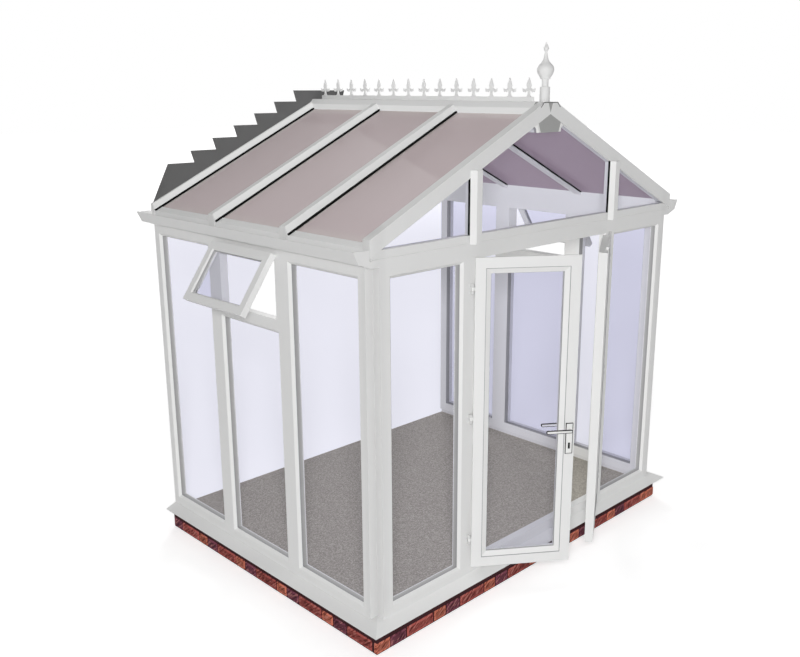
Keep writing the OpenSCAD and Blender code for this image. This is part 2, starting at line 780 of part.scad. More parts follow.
module left_frame_rails() { color(white) at_house() on_left() side_rails(frame_depth); }
module left_glass() { color(pane) at_house() on_left() side_glass(); }
module left_vent_sash() { color(white) at_house() on_left() vent_sash(); }
module left_vent_glass() { color(pane) at_house() on_left() vent_glass(); }
module right_frame_posts() { color(white) at_house() on_right() side_posts(side_depth); }
module right_frame_rails() { color(white) at_house() on_right() side_rails(side_depth); }
module right_glass() { color(pane) at_house() on_right() side_glass(); }
module right_vent_sash() { color(white) at_house() on_right() vent_sash(); }
module right_vent_glass() { color(pane) at_house() on_right() vent_glass(); }
module front_frame_posts() { color(white) at_house() on_front() front_posts(); }
module front_frame_rails() { color(white) at_house() on_front() front_rails(); }
module front_glass() { color(pane) at_house() on_front() front_panes(); }
module corner_posts() { color(white) at_house() for (s = [0, 1]) mirror([s, 0, 0]) corner_post(); }
module left_eaves_beam() { color(white) at_house() mirror([1, 0, 0]) eaves_beam(); }
module right_eaves_beam() { color(white) at_house() eaves_beam(); }
module left_gutter() { color(white) at_house() mirror([1, 0, 0]) gutter(); }
module right_gutter() { color(white) at_house() gutter(); }
module tie_beam() { color(white) at_house() tie(); }
module gable_posts() {
    color(white) at_house() {
        gable_post(gable_post_right);
        mirror([1, 0, 0]) gable_post(gable_post_left);
    }
}
module gable_glass() { color(pane) at_house() gable_panes(); }
module gable_bars() { color(white) at_house() for (s = [0, 1]) mirror([s, 0, 0]) gable_bar(); }
module left_roof_bars() { color(white) at_house() mirror([1, 0, 0]) roof_bars(); }
module right_roof_bars() { color(white) at_house() roof_bars(); }
module left_roof_sheets() { color("#b5aaaa") at_house() mirror([1, 0, 0]) roof_sheets(); }
module right_roof_sheets() { color("#b5aaaa") at_house() roof_sheets(); }
module ridge_beam() { color(white) at_house() across(0, gable_back) ridge_beam_outline(); }
module ridge_cap() { color(white) at_house() across(0, gable_back - end_plate_t) ridge_cap_outline(); }
module ridge_end_trim() {
    color("#a0a09e") at_house() {
        across(gable_back - end_plate_t, gable_back) ridge_cap_outline();
        across(gable_back + eps, front_out) boss_outline();
    }
}
module ridge_cresting() { color("#d4d4d4") at_house() cresting(); }
module finial() { color("#e8e8e8") at_house() finial_turning(); }
module left_flashing() { color("#585858") at_house() mirror([1, 0, 0]) across(0, lead_t) flashing_outline(); }
module right_flashing() { color("#585858") at_house() across(0, lead_t) flashing_outline(); }
module left_door_frame() {
    color(white) at_house() leaf_swing(left_open) difference() {
        leaf_frame();
        lever_bore(spindle_r + turn_gap);
    }
}
module left_door_glass() { color(pane) at_house() leaf_swing(left_open) leaf_pane(); }
module right_door_frame() { color(white) at_house() mirror([1, 0, 0]) leaf_swing(right_open) leaf_frame(); }
module right_door_glass() { color(pane) at_house() mirror([1, 0, 0]) leaf_swing(right_open) leaf_pane(); }
module meeting_post() {
    color(white) at_house() mirror([1, 0, 0]) leaf_swing(right_open)
        translate([-meeting_half, -flange_face, leaf_low])
            cube([2 * meeting_half - meeting_gap, flange_t + leaf_t, leaf_high - leaf_low]);
}
module handle_plates() { color("#f0f0ee") at_house() leaf_swing(left_open) plates(); }
module door_lever() { color("#f0f0ee") at_house() leaf_swing(left_open) lever_pair(); }
module hinge_brackets() {
    color(white) at_house() for (s = [0, 1], z = hinge_zs) mirror([s, 0, 0]) hinge_bracket(z);
}

plinth_front();
plinth_left();
plinth_right();
floor_slab();
front_sill();
left_sill();
right_sill();
left_frame_posts();
left_frame_rails();
left_glass();
left_vent_sash();
left_vent_glass();
right_frame_posts();
right_frame_rails();
right_glass();
right_vent_sash();
right_vent_glass();
front_frame_posts();
front_frame_rails();
front_glass();
corner_posts();
left_eaves_beam();
right_eaves_beam();
left_gutter();
right_gutter();
tie_beam();
gable_posts();
gable_glass();
gable_bars();
left_roof_bars();
right_roof_bars();
left_roof_sheets();
right_roof_sheets();
ridge_beam();
ridge_cap();
ridge_end_trim();
ridge_cresting();
finial();
left_flashing();
right_flashing();
left_door_frame();
left_door_glass();
right_door_frame();
right_door_glass();
meeting_post();
handle_plates();
door_lever();
hinge_brackets();
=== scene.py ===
"""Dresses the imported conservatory: a finish for every solid, and the pieces that only the looks need."""

import json
import logging
import math
from dataclasses import dataclass
from enum import Enum
from typing import Any, Iterable, Optional, Sequence, Union

import bmesh
import bpy
from mathutils import Matrix, Vector


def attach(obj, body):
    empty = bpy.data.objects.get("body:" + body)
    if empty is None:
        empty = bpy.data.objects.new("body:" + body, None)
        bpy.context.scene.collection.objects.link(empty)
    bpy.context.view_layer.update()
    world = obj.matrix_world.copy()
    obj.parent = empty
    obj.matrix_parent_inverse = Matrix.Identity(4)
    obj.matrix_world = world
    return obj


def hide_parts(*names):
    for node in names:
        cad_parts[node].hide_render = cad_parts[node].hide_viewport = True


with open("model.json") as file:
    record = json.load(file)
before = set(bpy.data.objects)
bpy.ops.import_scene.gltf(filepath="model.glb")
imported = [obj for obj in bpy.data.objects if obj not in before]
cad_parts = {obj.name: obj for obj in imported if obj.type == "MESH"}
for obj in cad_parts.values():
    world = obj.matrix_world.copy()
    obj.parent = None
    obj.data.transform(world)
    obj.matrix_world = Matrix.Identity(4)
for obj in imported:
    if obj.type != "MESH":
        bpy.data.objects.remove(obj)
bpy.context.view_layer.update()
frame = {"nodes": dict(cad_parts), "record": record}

LOG = logging.getLogger("conservatory")
HOUSE_Y = 1.098
FRONT_OUT = 2.172
WALL_HALF = 1.432
RIDGE_Z = 3.00405
MIRROR = Matrix.Diagonal((-1.0, 1.0, 1.0, 1.0))
LEFT_TURN = Matrix.Rotation(math.radians(-90.0), 4, "Z")
Point = tuple[float, float, float]
Pair = tuple[float, float]
Colour = tuple[float, float, float]
Mesh = bmesh.types.BMesh
Verts = list[bmesh.types.BMVert]
Node = bpy.types.Node
Material = bpy.types.Material


class Body(Enum):
    """The bodies that a piece can ride on."""

    BUILDING = "building"
    LEFT_DOOR = "left_door"
    RIGHT_DOOR = "right_door"
    LEVER = "door_lever"


class Side(Enum):
    """A half of the building, as the sign of X."""

    LEFT = -1
    RIGHT = 1

    @property
    def word(self) -> str:
        """Name used in piece names."""
        return self.name.lower()


class Wall(Enum):
    """A glazed wall, whose own frame has X along it, Y from its outer face inwards and Z up."""

    LEFT = "left"
    RIGHT = "right"
    FRONT = "front"

    def place(self) -> Matrix:
        """Says where the wall stands.

        Returns:
            Matrix from the wall's own frame to the building's.
        """
        if self is Wall.FRONT:
            return Matrix.Translation((0.0, HOUSE_Y - FRONT_OUT, 0.0))
        turned = Matrix.Translation((-WALL_HALF, HOUSE_Y, 0.0)) @ LEFT_TURN
        return turned if self is Wall.LEFT else MIRROR @ turned


class Slot(Enum):
    """Material slots of the record."""

    BRICK = "brick"
    FLOOR = "floor"
    UPVC = "upvc"
    GREY = "grey_trim"
    GLASS = "glass"
    SHEET = "roof_sheet"
    LEAD = "lead"
    HANDLE = "handle"


class Sock:
    """A node output on which Python arithmetic adds Math nodes."""

    def __init__(self, kit: "NodeKit", socket: bpy.types.NodeSocket) -> None:
        self.kit = kit
        self.socket = socket

    def _math(self, operation: str, first: Any, second: Any = 0.0) -> "Sock":
        """Adds one Math node.

        Args:
            operation: Blender's name of the operation.
            first: Left value, a Sock or a number.
            second: Right value, a Sock or a number.

        Returns:
            The node's value.
        """
        node = self.kit.node("ShaderNodeMath", {"operation": operation}, {0: first, 1: second})
        return Sock(self.kit, node.outputs[0])

    def __add__(self, other: Any) -> "Sock":
        """Sum."""
        return self._math("ADD", self, other)

    def __radd__(self, other: Any) -> "Sock":
        """Sum with a number on the left."""
        return self._math("ADD", other, self)

    def __sub__(self, other: Any) -> "Sock":
        """Difference."""
        return self._math("SUBTRACT", self, other)

    def __rsub__(self, other: Any) -> "Sock":
        """Difference from a number."""
        return self._math("SUBTRACT", other, self)

    def __mul__(self, other: Any) -> "Sock":
        """Product."""
        return self._math("MULTIPLY", self, other)

    def __rmul__(self, other: Any) -> "Sock":
        """Product with a number on the left."""
        return self._math("MULTIPLY", other, self)

    def __gt__(self, other: Any) -> "Sock":
        """One where the value is over the other, else zero."""
        return self._math("GREATER_THAN", self, other)

    def size(self) -> "Sock":
        """The value without its sign."""
        return self._math("ABSOLUTE", self)

    def power(self, other: float) -> "Sock":
        """The value raised to a power."""
        return self._math("POWER", self, other)

    def least(self, other: float) -> "Sock":
        """The smaller of the value and a number."""
        return self._math("MINIMUM", self, other)

    def wave(self, other: float) -> "Sock":
        """Sine of the value times a number."""
        return self._math("SINE", self * other)


class NodeKit:
    """Builds the node tree of a material, a lamp or the world."""

    def __init__(self, owner: bpy.types.ID) -> None:
        """Starts with an empty tree.

        Args:
            owner: The material, lamp or world.
        """
        self.owner = owner
        owner.use_nodes = True
        self.tree = owner.node_tree
        self.tree.nodes.clear()

    def node(self, kind: str, settings: Optional[dict[str, Any]] = None,
             inputs: Optional[dict[Union[str, int], Any]] = None) -> Node:
        """Adds a node of any type.

        Args:
            kind: Blender's type name of the node.
            settings: Properties set first; "stops" holds a ramp's positions and colours.
            inputs: Values or links of the input sockets, by name or index.

        Returns:
            The new node.
        """
        made = self.tree.nodes.new(kind)
        for key, value in (settings or {}).items():
            if key == "stops":
                ramp = made.color_ramp
                while len(ramp.elements) < len(value):
                    ramp.elements.new(0.5)
                for element, (position, colour) in zip(ramp.elements, value):
                    element.position = position
                    element.color = (*colour, 1.0)
            else:
                setattr(made, key, value)
        for key, value in (inputs or {}).items():
            self.feed(made.inputs[key], value)
        return made

    def feed(self, socket: bpy.types.NodeSocket, value: Any) -> None:
        """Links or sets one input socket.

        Args:
            socket: The input.
            value: A Sock, a node, a colour, a vector or a number.
        """
        if isinstance(value, Sock):
            self.tree.links.new(value.socket, socket)
        elif isinstance(value, Node):
            self.tree.links.new(value.outputs[0], socket)
        elif socket.type == "RGBA" and len(value) == 3:
            socket.default_value = (*value, 1.0)
        else:
            socket.default_value = value

    def out(self, made: Node, name: Union[str, int]) -> Sock:
        """Wraps a node's output."""
        return Sock(self, made.outputs[name])

    def place(self) -> Sock:
        """Object coordinates."""
        return self.out(self.node("ShaderNodeTexCoord"), "Object")

    def axes(self) -> tuple[Sock, Sock, Sock]:
        """The three object coordinates."""
        split = self.node("ShaderNodeSeparateXYZ", None, {0: self.place()})
        return self.out(split, "X"), self.out(split, "Y"), self.out(split, "Z")

    def attribute(self, name: str, output: str) -> Sock:
        """An attribute of the mesh."""
        return self.out(self.node("ShaderNodeAttribute", {"attribute_name": name}), output)

    def noise(self, scale: float, detail: float = 3.0, rough: float = 0.55,
              where: Optional[Sock] = None) -> Sock:
        """Noise on object coordinates or on another vector.

        Args:
            scale: Features per metre.
            detail: Octaves.
            rough: Strength of the finer octaves.
            where: Vector to read, or none for object coordinates.

        Returns:
            A value from 0 to 1.
        """
        made = self.node("ShaderNodeTexNoise", None, {
            "Vector": self.place() if where is None else where,
            "Scale": scale, "Detail": detail, "Roughness": rough})
        return self.out(made, 0)

    def stretched(self, scale: Point) -> Sock:
        """Object coordinates with a factor on each axis."""
        return self.out(self.node("ShaderNodeMapping", None, {"Vector": self.place(), "Scale": scale}), 0)

    def ramp(self, value: Sock, stops: Sequence[tuple[float, Colour]]) -> Sock:
        """Turns a value into a colour."""
        return self.out(self.node("ShaderNodeValToRGB", {"stops": stops}, {0: value}), 0)

    def mix(self, share: Any, first: Any, second: Any, blend: str = "MIX") -> Sock:
        """Mixes two colours.

        Args:
            share: Share of the second colour.
            first: First colour.
            second: Second colour.
            blend: Blender's blend type.

        Returns:
            The mixed colour.
        """
        made = self.node("ShaderNodeMix", {"data_type": "RGBA", "blend_type": blend},
                         {0: share, 6: first, 7: second})
        return self.out(made, 2)

    def surface(self, colour: Sock, rough: Any, gloss: float, height: Sock, relief: Pair,
                cover: Any = 1.0) -> Node:
        """Adds a Principled shader with a bump.

        Args:
            colour: Base colour.
            rough: Roughness, a Sock or a number.
            gloss: Specular level.
            height: Height of the bump.
            relief: Strength and distance of the bump.
            cover: Share of what is behind that the surface hides.

        Returns:
            The shader.
        """
        bump = self.node("ShaderNodeBump", None, {
            "Height": height, "Strength": relief[0], "Distance": relief[1]})
        return self.node("ShaderNodeBsdfPrincipled", None, {
            "Base Color": colour, "Roughness": rough, "Specular IOR Level": gloss, "Alpha": cover,
            "Normal": bump})

    def seen(self) -> Sock:
        """Tells the rays that show the surroundings, straight or by way of glass and gloss.

        Returns:
            One for those rays, else zero.
        """
        path = self.node("ShaderNodeLightPath")
        camera = self.out(path, "Is Camera Ray")
        return camera + self.out(path, "Is Glossy Ray") + self.out(path, "Is Transmission Ray")

    def airy(self, shader: Node) -> Node:
        """Lets lamplight and soft light through a shader unhindered.

        Args:
            shader: What the other rays meet.

        Returns:
            The mixed shader.
        """
        path = self.node("ShaderNodeLightPath")
        light = self.out(path, "Is Shadow Ray") + self.out(path, "Is Diffuse Ray")
        free = self.node("ShaderNodeBsdfTransparent", None, {"Color": (1.0, 1.0, 1.0)})
        return self.node("ShaderNodeMixShader", None, {0: light, 1: shader, 2: free})

    def finish(self, shader: Node, kind: str = "Material") -> Any:
        """Links the shader to the output.

        Args:
            shader: The last shader.
            kind: Material, World or Light.

        Returns:
            The owner of the tree.
        """
        self.node(f"ShaderNodeOutput{kind}", None, {"Surface": shader})
        return self.owner


def new_kit(name: str) -> NodeKit:
    """Starts a material of that name."""
    return NodeKit(bpy.data.materials.new(name))


def scaled(colour: Colour, factor: float) -> Colour:
    """A colour times a number."""
    return (colour[0] * factor, colour[1] * factor, colour[2] * factor)


@dataclass(frozen=True)
class Plastic:
    """Smooth extruded plastic with a faint cloudiness, and painted shade in the stepped corners.

    Attributes:
        name: Name of the material.
        colour: Colour of clean plastic.
        roughness: Mean roughness.
        dull: Factor on the colour in the duller patches.
        painted_shade_corner: Place of the stepped corners where shade is painted, without sign along X.
        painted_shade_strength: Strength of the painted shade in those corners.
        reach: How far from them the painted shade reaches.
    """

    name: str
    colour: Colour
    roughness: float = 0.46
    dull: float = 0.97
    painted_shade_corner: Pair = (1.378, -1.020)
    painted_shade_strength: float = 0.17
    reach: float = 0.075

    def make(self) -> Material:
        """Builds the material.

        Returns:
            The material.
        """
        kit = new_kit(self.name)
        cloud = kit.noise(1.7, 4.0)
        grain = kit.noise(160.0, 2.0)
        streak = kit.noise(1.0, 3.0, 0.6, kit.stretched((60.0, 60.0, 2.5)))
        tint = kit.mix(cloud * 0.6 + streak * 0.3, self.colour, scaled(self.colour, self.dull))
        # Painted shade: the colour darkens towards black near the stepped corners.
        x, y, _ = kit.axes()
        away = ((x.size() - self.painted_shade_corner[0]).power(2.0) + (y - self.painted_shade_corner[1]).power(2.0)).power(0.5)
        near = (1.0 - (away * (1.0 / self.reach)).least(1.0)) * self.painted_shade_strength
        shaded = kit.mix(near, tint, (0.0, 0.0, 0.0))
        rough = self.roughness - 0.05 + cloud * 0.1
        return kit.finish(kit.surface(shaded, rough, 0.2, grain, (0.04, 0.0005)))


@dataclass(frozen=True)
class Lining:
    """Grey plastic in the reveals, with a shade painted from corner to edge.

    Attributes:
        name: Name of the material.
        dark: Colour where the shade is 0.
        pale: Colour where the shade is 1.
        layer: Colour attribute that holds the shade.
    """

    name: str
    dark: Colour
    pale: Colour
    layer: str

    def make(self) -> Material:
        """Builds the material.

        Returns:
            The material.
        """
        kit = new_kit(self.name)
        grain = kit.noise(120.0, 2.0)
        tint = kit.mix(kit.attribute(self.layer, "Fac"), self.dark, self.pale)
        worn = kit.mix(grain * 0.12, tint, self.dark)
        return kit.finish(kit.surface(worn, 0.55 + grain * 0.1, 0.2, grain, (0.05, 0.0004)))


@dataclass(frozen=True)
class Pane:
    """Clear glazing with a cool tint that colours what is behind it.

    Attributes:
        name: Name of the material.
        tint: Colour that one face lets through.
        shine: Share of the mirror at most.
        sheen: Colour of the mirror's ground.
    """

    name: str
    tint: Colour
    shine: float = 0.02
    sheen: Colour = (0.10, 0.10, 0.11)

    def make(self) -> Material:
        """Builds the material.

        Returns:
            The material.
        """
        kit = new_kit(self.name)
        clear = kit.node("ShaderNodeBsdfTransparent", None, {"Color": self.tint})
        gloss = kit.node("ShaderNodeBsdfPrincipled", None, {"Base Color": self.sheen, "Roughness": 0.06})
        share = self.shine * (0.6 + kit.noise(2.3, 3.0) * 0.8)
        return kit.finish(kit.airy(kit.node("ShaderNodeMixShader", None, {0: share, 1: clear, 2: gloss})))


@dataclass(frozen=True)
class TintedSheet:
    """Translucent roof sheet with fine ribs down the slope, and painted shade on its lower face.

    Attributes:
        name: Name of the material.
        colour: Colour of the sheet.
        cover: Share of what is behind that one face hides.
        rib: Distance between ribs in metres.
        under: Colour of the lower face, darker than the upper face as painted shade.
        plane: Fall of the slope, and height at the ridge line halfway through the sheet.
    """

    name: str
    colour: Colour
    cover: float
    rib: float = 0.025
    under: Colour = (0.43, 0.312, 0.405)
    plane: Pair = (0.470564, 2.9602)

    def make(self) -> Material:
        """Builds the material.

        Returns:
            The material.
        """
        kit = new_kit(self.name)
        x, y, z = kit.axes()
        ribs = y.wave(2.0 * math.pi / self.rib)
        # Painted shade: the face below the sheet's middle plane takes the darker under colour.
        upper = z + x.size() * self.plane[0] > self.plane[1]
        face = kit.mix(upper, self.under, self.colour)
        tint = kit.mix(kit.noise(1.3, 3.0) * 0.08, face, (0.9, 0.85, 0.85))
        cover = self.cover + ribs * 0.006
        return kit.finish(kit.airy(kit.surface(tint, 0.45, 0.1, ribs, (0.04, 0.0004), cover)))


@dataclass(frozen=True)
class Brickwork:
    """Fired clay that takes each brick's own colour from the mesh, with slanting drag marks.

    Attributes:
        name: Name of the material.
        layer: Colour attribute of the mesh.
        slant: Angle of the drag marks in degrees.
    """

    name: str
    layer: str
    slant: float = 38.0

    def make(self) -> Material:
        """Builds the material.

        Returns:
            The material.
        """
        kit = new_kit(self.name)
        tone = kit.attribute(self.layer, "Color")
        x, y, z = kit.axes()
        run = x - y
        turn = math.radians(self.slant)
        along = run * math.cos(turn) + z * math.sin(turn)
        across = z * math.cos(turn) - run * math.sin(turn)
        where = kit.out(kit.node("ShaderNodeCombineXYZ", None, {0: along * 14.0, 1: across * 75.0}), 0)
        drag = kit.noise(1.0, 3.0, 0.6, where)
        blotch = kit.noise(26.0, 4.0, 0.65)
        pits = kit.noise(420.0, 2.0)
        burnt = kit.mix((drag > 0.56) * 0.75, tone, (0.22, 0.14, 0.16), "MULTIPLY")
        cloudy = kit.mix(blotch * 0.55, burnt, (0.42, 0.32, 0.34), "MULTIPLY")
        worn = kit.mix((0.42 - drag > 0.0) * 0.5, cloudy, (0.62, 0.27, 0.23))
        height = blotch + pits * 0.4 + drag * 0.5
        return kit.finish(kit.surface(worn, 0.82 + pits * 0.12, 0.15, height, (0.4, 0.003)))


@dataclass(frozen=True)
class Mortar:
    """Rough cement between the bricks.

    Attributes:
        name: Name of the material.
        colour: Colour of the cement.
    """

    name: str
    colour: Colour

    def make(self) -> Material:
        """Builds the material.

        Returns:
            The material.
        """
        kit = new_kit(self.name)
        sand = kit.noise(260.0, 3.0)
        tint = kit.mix(sand, scaled(self.colour, 0.7), self.colour)
        return kit.finish(kit.surface(tint, 0.95, 0.1, sand, (0.6, 0.002)))


@dataclass(frozen=True)
class Screed:
    """Speckled floor of small pale, brown and dark grains.

    Attributes:
        name: Name of the material.
        pale: Colour of the pale grains.
        middle: Colour of the ground.
        dark: Colour of the dark grains.
    """

    name: str
    pale: Colour
    middle: Colour
    dark: Colour

    def make(self) -> Material:
        """Builds the material.

        Returns:
            The material.
        """
        kit = new_kit(self.name)
        grain = kit.noise(110.0, 3.0, 0.7)
        cells = kit.node("ShaderNodeTexVoronoi", None, {"Vector": kit.place(), "Scale": 80.0})
        drift = kit.noise(3.0, 3.0)
        ground = kit.ramp(grain, [(0.3, self.dark), (0.5, self.middle), (0.72, self.pale)])
        specks = kit.mix((kit.out(cells, "Distance") > 0.55) * 0.35, ground, self.dark)
        tint = kit.mix(drift * 0.25, specks, self.middle)
        return kit.finish(kit.surface(tint, 0.9, 0.1, grain, (0.35, 0.0015)))


@dataclass(frozen=True)
class Lead:
    """Dull grey lead sheet with soft weather marks.

    Attributes:
        name: Name of the material.
        colour: Colour of the lead.
    """

    name: str
    colour: Colour

    def make(self) -> Material:
        """Builds the material.

        Returns:
            The material.
        """
        kit = new_kit(self.name)
        cloud = kit.noise(9.0, 4.0)
        runs = kit.noise(22.0, 3.0, 0.6, kit.stretched((1.0, 1.0, 0.2)))
        bloom = kit.mix(cloud * 0.4, self.colour, scaled(self.colour, 1.3))
        tint = kit.mix(runs * 0.3, bloom, scaled(self.colour, 0.8))
        return kit.finish(kit.surface(tint, 0.65 + cloud * 0.2, 0.2, cloud, (0.2, 0.004)))


@dataclass(frozen=True)
class Rubber:
    """Black glazing gasket.

    Attributes:
        name: Name of the material.
        colour: Colour of the gasket.
    """

    name: str
    colour: Colour

    def make(self) -> Material:
        """Builds the material.

        Returns:
            The material.
        """
        kit = new_kit(self.name)
        grain = kit.noise(240.0, 2.0)
        tint = kit.mix(grain * 0.4, self.colour, scaled(self.colour, 1.6))
        return kit.finish(kit.surface(tint, 0.75 + grain * 0.1, 0.1, grain, (0.1, 0.0005)))


class Paint:
    """All finishes of the conservatory, made once."""

    def __init__(self) -> None:
        """Builds the materials."""
        self.white = Plastic("white_frame_plastic", (0.84, 0.84, 0.835)).make()
        # Lighter copy of the frame plastic: painted light on the sheet closers, the strips inside the
        # sheets' ends and the boss brackets.
        self.bright = Plastic("lit_white_trim_plastic", (0.92, 0.92, 0.915)).make()
        self.grey = Plastic("grey_trim_plastic", (0.40, 0.40, 0.395)).make()
        self.dark = Plastic("dark_trim_plastic", (0.16, 0.16, 0.16)).make()
        # Darker copy of the frame plastic: painted shade that dulls the hinges' lit faces.
        self.hinge = Plastic("shaded_hinge_plastic", (0.66, 0.66, 0.655)).make()
        self.enamel = Plastic("handle_enamel", (0.88, 0.88, 0.87), 0.3).make()
        self.lining = Lining("reveal_lining", (0.30, 0.30, 0.31), (0.80, 0.80, 0.80), "shade").make()
        # Paler than the frame plastic: painted light on the right wall's outer reveals and on the lines
        # across the sheets' ends.
        self.painted_light_lining = Lining("painted_light_lining", (0.88, 0.88, 0.88), (0.94, 0.94, 0.94), "shade").make()
        self.glass = Pane("clear_glazing", (0.885, 0.885, 0.933)).make()
        # Darker copy of the frame plastic: painted shade on the sills.
        self.sill = Plastic("shaded_sill_plastic", (0.78, 0.78, 0.775)).make()
        self.sheet = TintedSheet("tinted_roof_sheet", (0.74, 0.625, 0.62), 0.80).make()
        self.brick = Brickwork("plinth_brick", "tone").make()
        self.mortar = Mortar("plinth_mortar", (0.062, 0.022, 0.026)).make()
        self.screed = Screed(
            "floor_screed", (0.67, 0.65, 0.58), (0.51, 0.478, 0.423), (0.265, 0.239, 0.216)).make()
        self.lead = Lead("flashing_lead", (0.125, 0.125, 0.125)).make()
        self.rubber = Rubber("black_gasket", (0.004, 0.004, 0.004)).make()
        self.edge = Rubber("dark_edge_rubber", (0.06, 0.06, 0.06)).make()


class Shop:
    """Makes finished pieces from bmesh shapes."""

    @staticmethod
    def spot(x: float, out: float, z: float) -> Vector:
        """Point at a distance out from the house wall."""
        return Vector((x, HOUSE_Y - out, z))

    @staticmethod
    def box(bm: Mesh, low: Sequence[float], high: Sequence[float]) -> Verts:
        """Adds a box between two corners.

        Args:
            bm: Mesh to add to.
            low: One corner.
            high: The opposite corner.

        Returns:
            The box's vertices.
        """
        middle = (Vector(low) + Vector(high)) / 2
        size = [abs(b - a) for a, b in zip(low, high)]
        matrix = Matrix.Translation(middle) @ Matrix.Diagonal((*size, 1.0))
        return bmesh.ops.create_cube(bm, size=1.0, matrix=matrix)["verts"]

    @staticmethod
    def grow(bm: Mesh, faces: Sequence[bmesh.types.BMFace], reach: Sequence[float]) -> Verts:
        """Draws faces out into a solid.

        Args:
            bm: Mesh to change.
            faces: Flat faces.
            reach: Vector to the far end.

        Returns:
            The vertices of the far end.
        """
        grown = bmesh.ops.extrude_face_region(bm, geom=list(faces))["geom"]
        far = [part for part in grown if isinstance(part, bmesh.types.BMVert)]
        bmesh.ops.translate(bm, verts=far, vec=Vector(reach))
        return far

    @staticmethod
    def prism(bm: Mesh, corners: Iterable[Sequence[float]], reach: Sequence[float]) -> Verts:
        """Adds a prism from a flat outline.

        Args:
            bm: Mesh to add to.
            corners: Outline in order.
            reach: Vector from the outline to the far end.

        Returns:
            The prism's vertices.
        """
        base = [bm.verts.new(corner) for corner in corners]
        return base + Shop.grow(bm, [bm.faces.new(base)], reach)

    @staticmethod
    def ring(bm: Mesh, low: Pair, high: Pair, width: float, depths: Pair) -> tuple[Verts, Verts]:
        """Adds a rectangular picture frame in the X and Z directions.

        Args:
            bm: Mesh to add to.
            low: Lowest X and Z of the outer edge.
            high: Highest X and Z of the outer edge.
            width: Width of the members.
            depths: Front and back along Y.

        Returns:
            The front and the back vertices.
        """
        outline = ((low[0], low[1]), (high[0], low[1]), (high[0], high[1]), (low[0], high[1]))
        outer = [bm.verts.new((x, depths[0], z)) for x, z in outline]
        middle = bm.faces.new(outer)
        middle.normal_update()
        band = bmesh.ops.inset_individual(bm, faces=[middle], thickness=width)["faces"]
        front = list({vert for face in band for vert in face.verts})
        bmesh.ops.delete(bm, geom=[middle], context="FACES_ONLY")
        back = Shop.grow(bm, band, (0.0, depths[1] - depths[0], 0.0))
        return front, back

    @staticmethod
    def soften(bm: Mesh, width: float, verts: Optional[Iterable[bmesh.types.BMVert]] = None,
               sharp: float = 20.0, segments: int = 2) -> None:
        """Rounds the sharp edges.

        Args:
            bm: Mesh to change.
            width: Width of the rounding.
            verts: Vertices whose edges count, or none for all.
            sharp: Smallest angle of an edge in degrees.
            segments: Steps across the rounding.
        """
        chosen = set(verts) if verts is not None else None
        edges = [edge for edge in bm.edges
                 if len(edge.link_faces) == 2 and edge.calc_face_angle(0.0) > math.radians(sharp)
                 and (chosen is None or (edge.verts[0] in chosen and edge.verts[1] in chosen))]
        bmesh.ops.bevel(bm, geom=edges, offset=width, affect="EDGES", segments=segments, profile=0.5,
                        material=-1, clamp_overlap=True)

    @staticmethod
    def coat(verts: Iterable[bmesh.types.BMVert], index: int) -> None:
        """Gives the faces of a shape one of its piece's materials."""
        for face in {face for vert in verts for face in vert.link_faces}:
            face.material_index = index

    @staticmethod
    def piece(bm: Mesh, name: str, paints: Sequence[Material], body: Body = Body.BUILDING,
              slot: Slot = Slot.UPVC, smooth: float = 35.0) -> bpy.types.Object:
        """Turns a bmesh into a piece that rides on a body.

        Args:
            bm: The mesh, which is freed.
            name: Name of the piece.
            paints: Its materials.
            body: Body that it rides on.
            slot: Slot of the record; not used.
            smooth: Edges under this angle are shaded smooth.

        Returns:
            The new object.
        """
        bmesh.ops.recalc_face_normals(bm, faces=bm.faces)
        for edge in bm.edges:
            edge.smooth = len(edge.link_faces) == 2 and edge.calc_face_angle(0.0) < math.radians(smooth)
        for face in bm.faces:
            face.smooth = True
        mesh = bpy.data.meshes.new(name)
        bm.to_mesh(mesh)
        bm.free()
        for paint in paints:
            mesh.materials.append(paint)
        made = bpy.data.objects.new(name, mesh)
        bpy.context.scene.collection.objects.link(made)
        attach(made, body.value)
        LOG.info("%s: %d faces on %s", name, len(mesh.polygons), body.value)
        return made


@dataclass
class Solids:
    """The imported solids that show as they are, with a finish each."""

    paint: Paint

    def dress(self) -> None:
        """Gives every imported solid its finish."""
        paint = self.paint
        by_slot = {Slot.BRICK: paint.brick, Slot.FLOOR: paint.screed, Slot.UPVC: paint.white,
                   Slot.GREY: paint.grey, Slot.GLASS: paint.glass, Slot.SHEET: paint.sheet,
                   Slot.LEAD: paint.lead, Slot.HANDLE: paint.enamel}
        # Hinges and sills take darker copies of the frame plastic as painted shade.
        special = {"hinge_brackets": paint.hinge, "left_sill": paint.sill, "right_sill": paint.sill}
        for part in frame["record"]["subparts"]:
            mesh = frame["nodes"][part["node"]].data
            mesh.materials.clear()
            plain = by_slot[Slot(part["material_slot"])]
            mesh.materials.append(special.get(part["node"], plain))
            LOG.info("%s dressed as %s", part["node"], part["material_slot"])


class Clay(Enum):
    """Colours of the kinds of brick."""

    RED = (0.43, 0.105, 0.090)
    ORANGE = (0.63, 0.195, 0.125)
    PURPLE = (0.21, 0.065, 0.095)


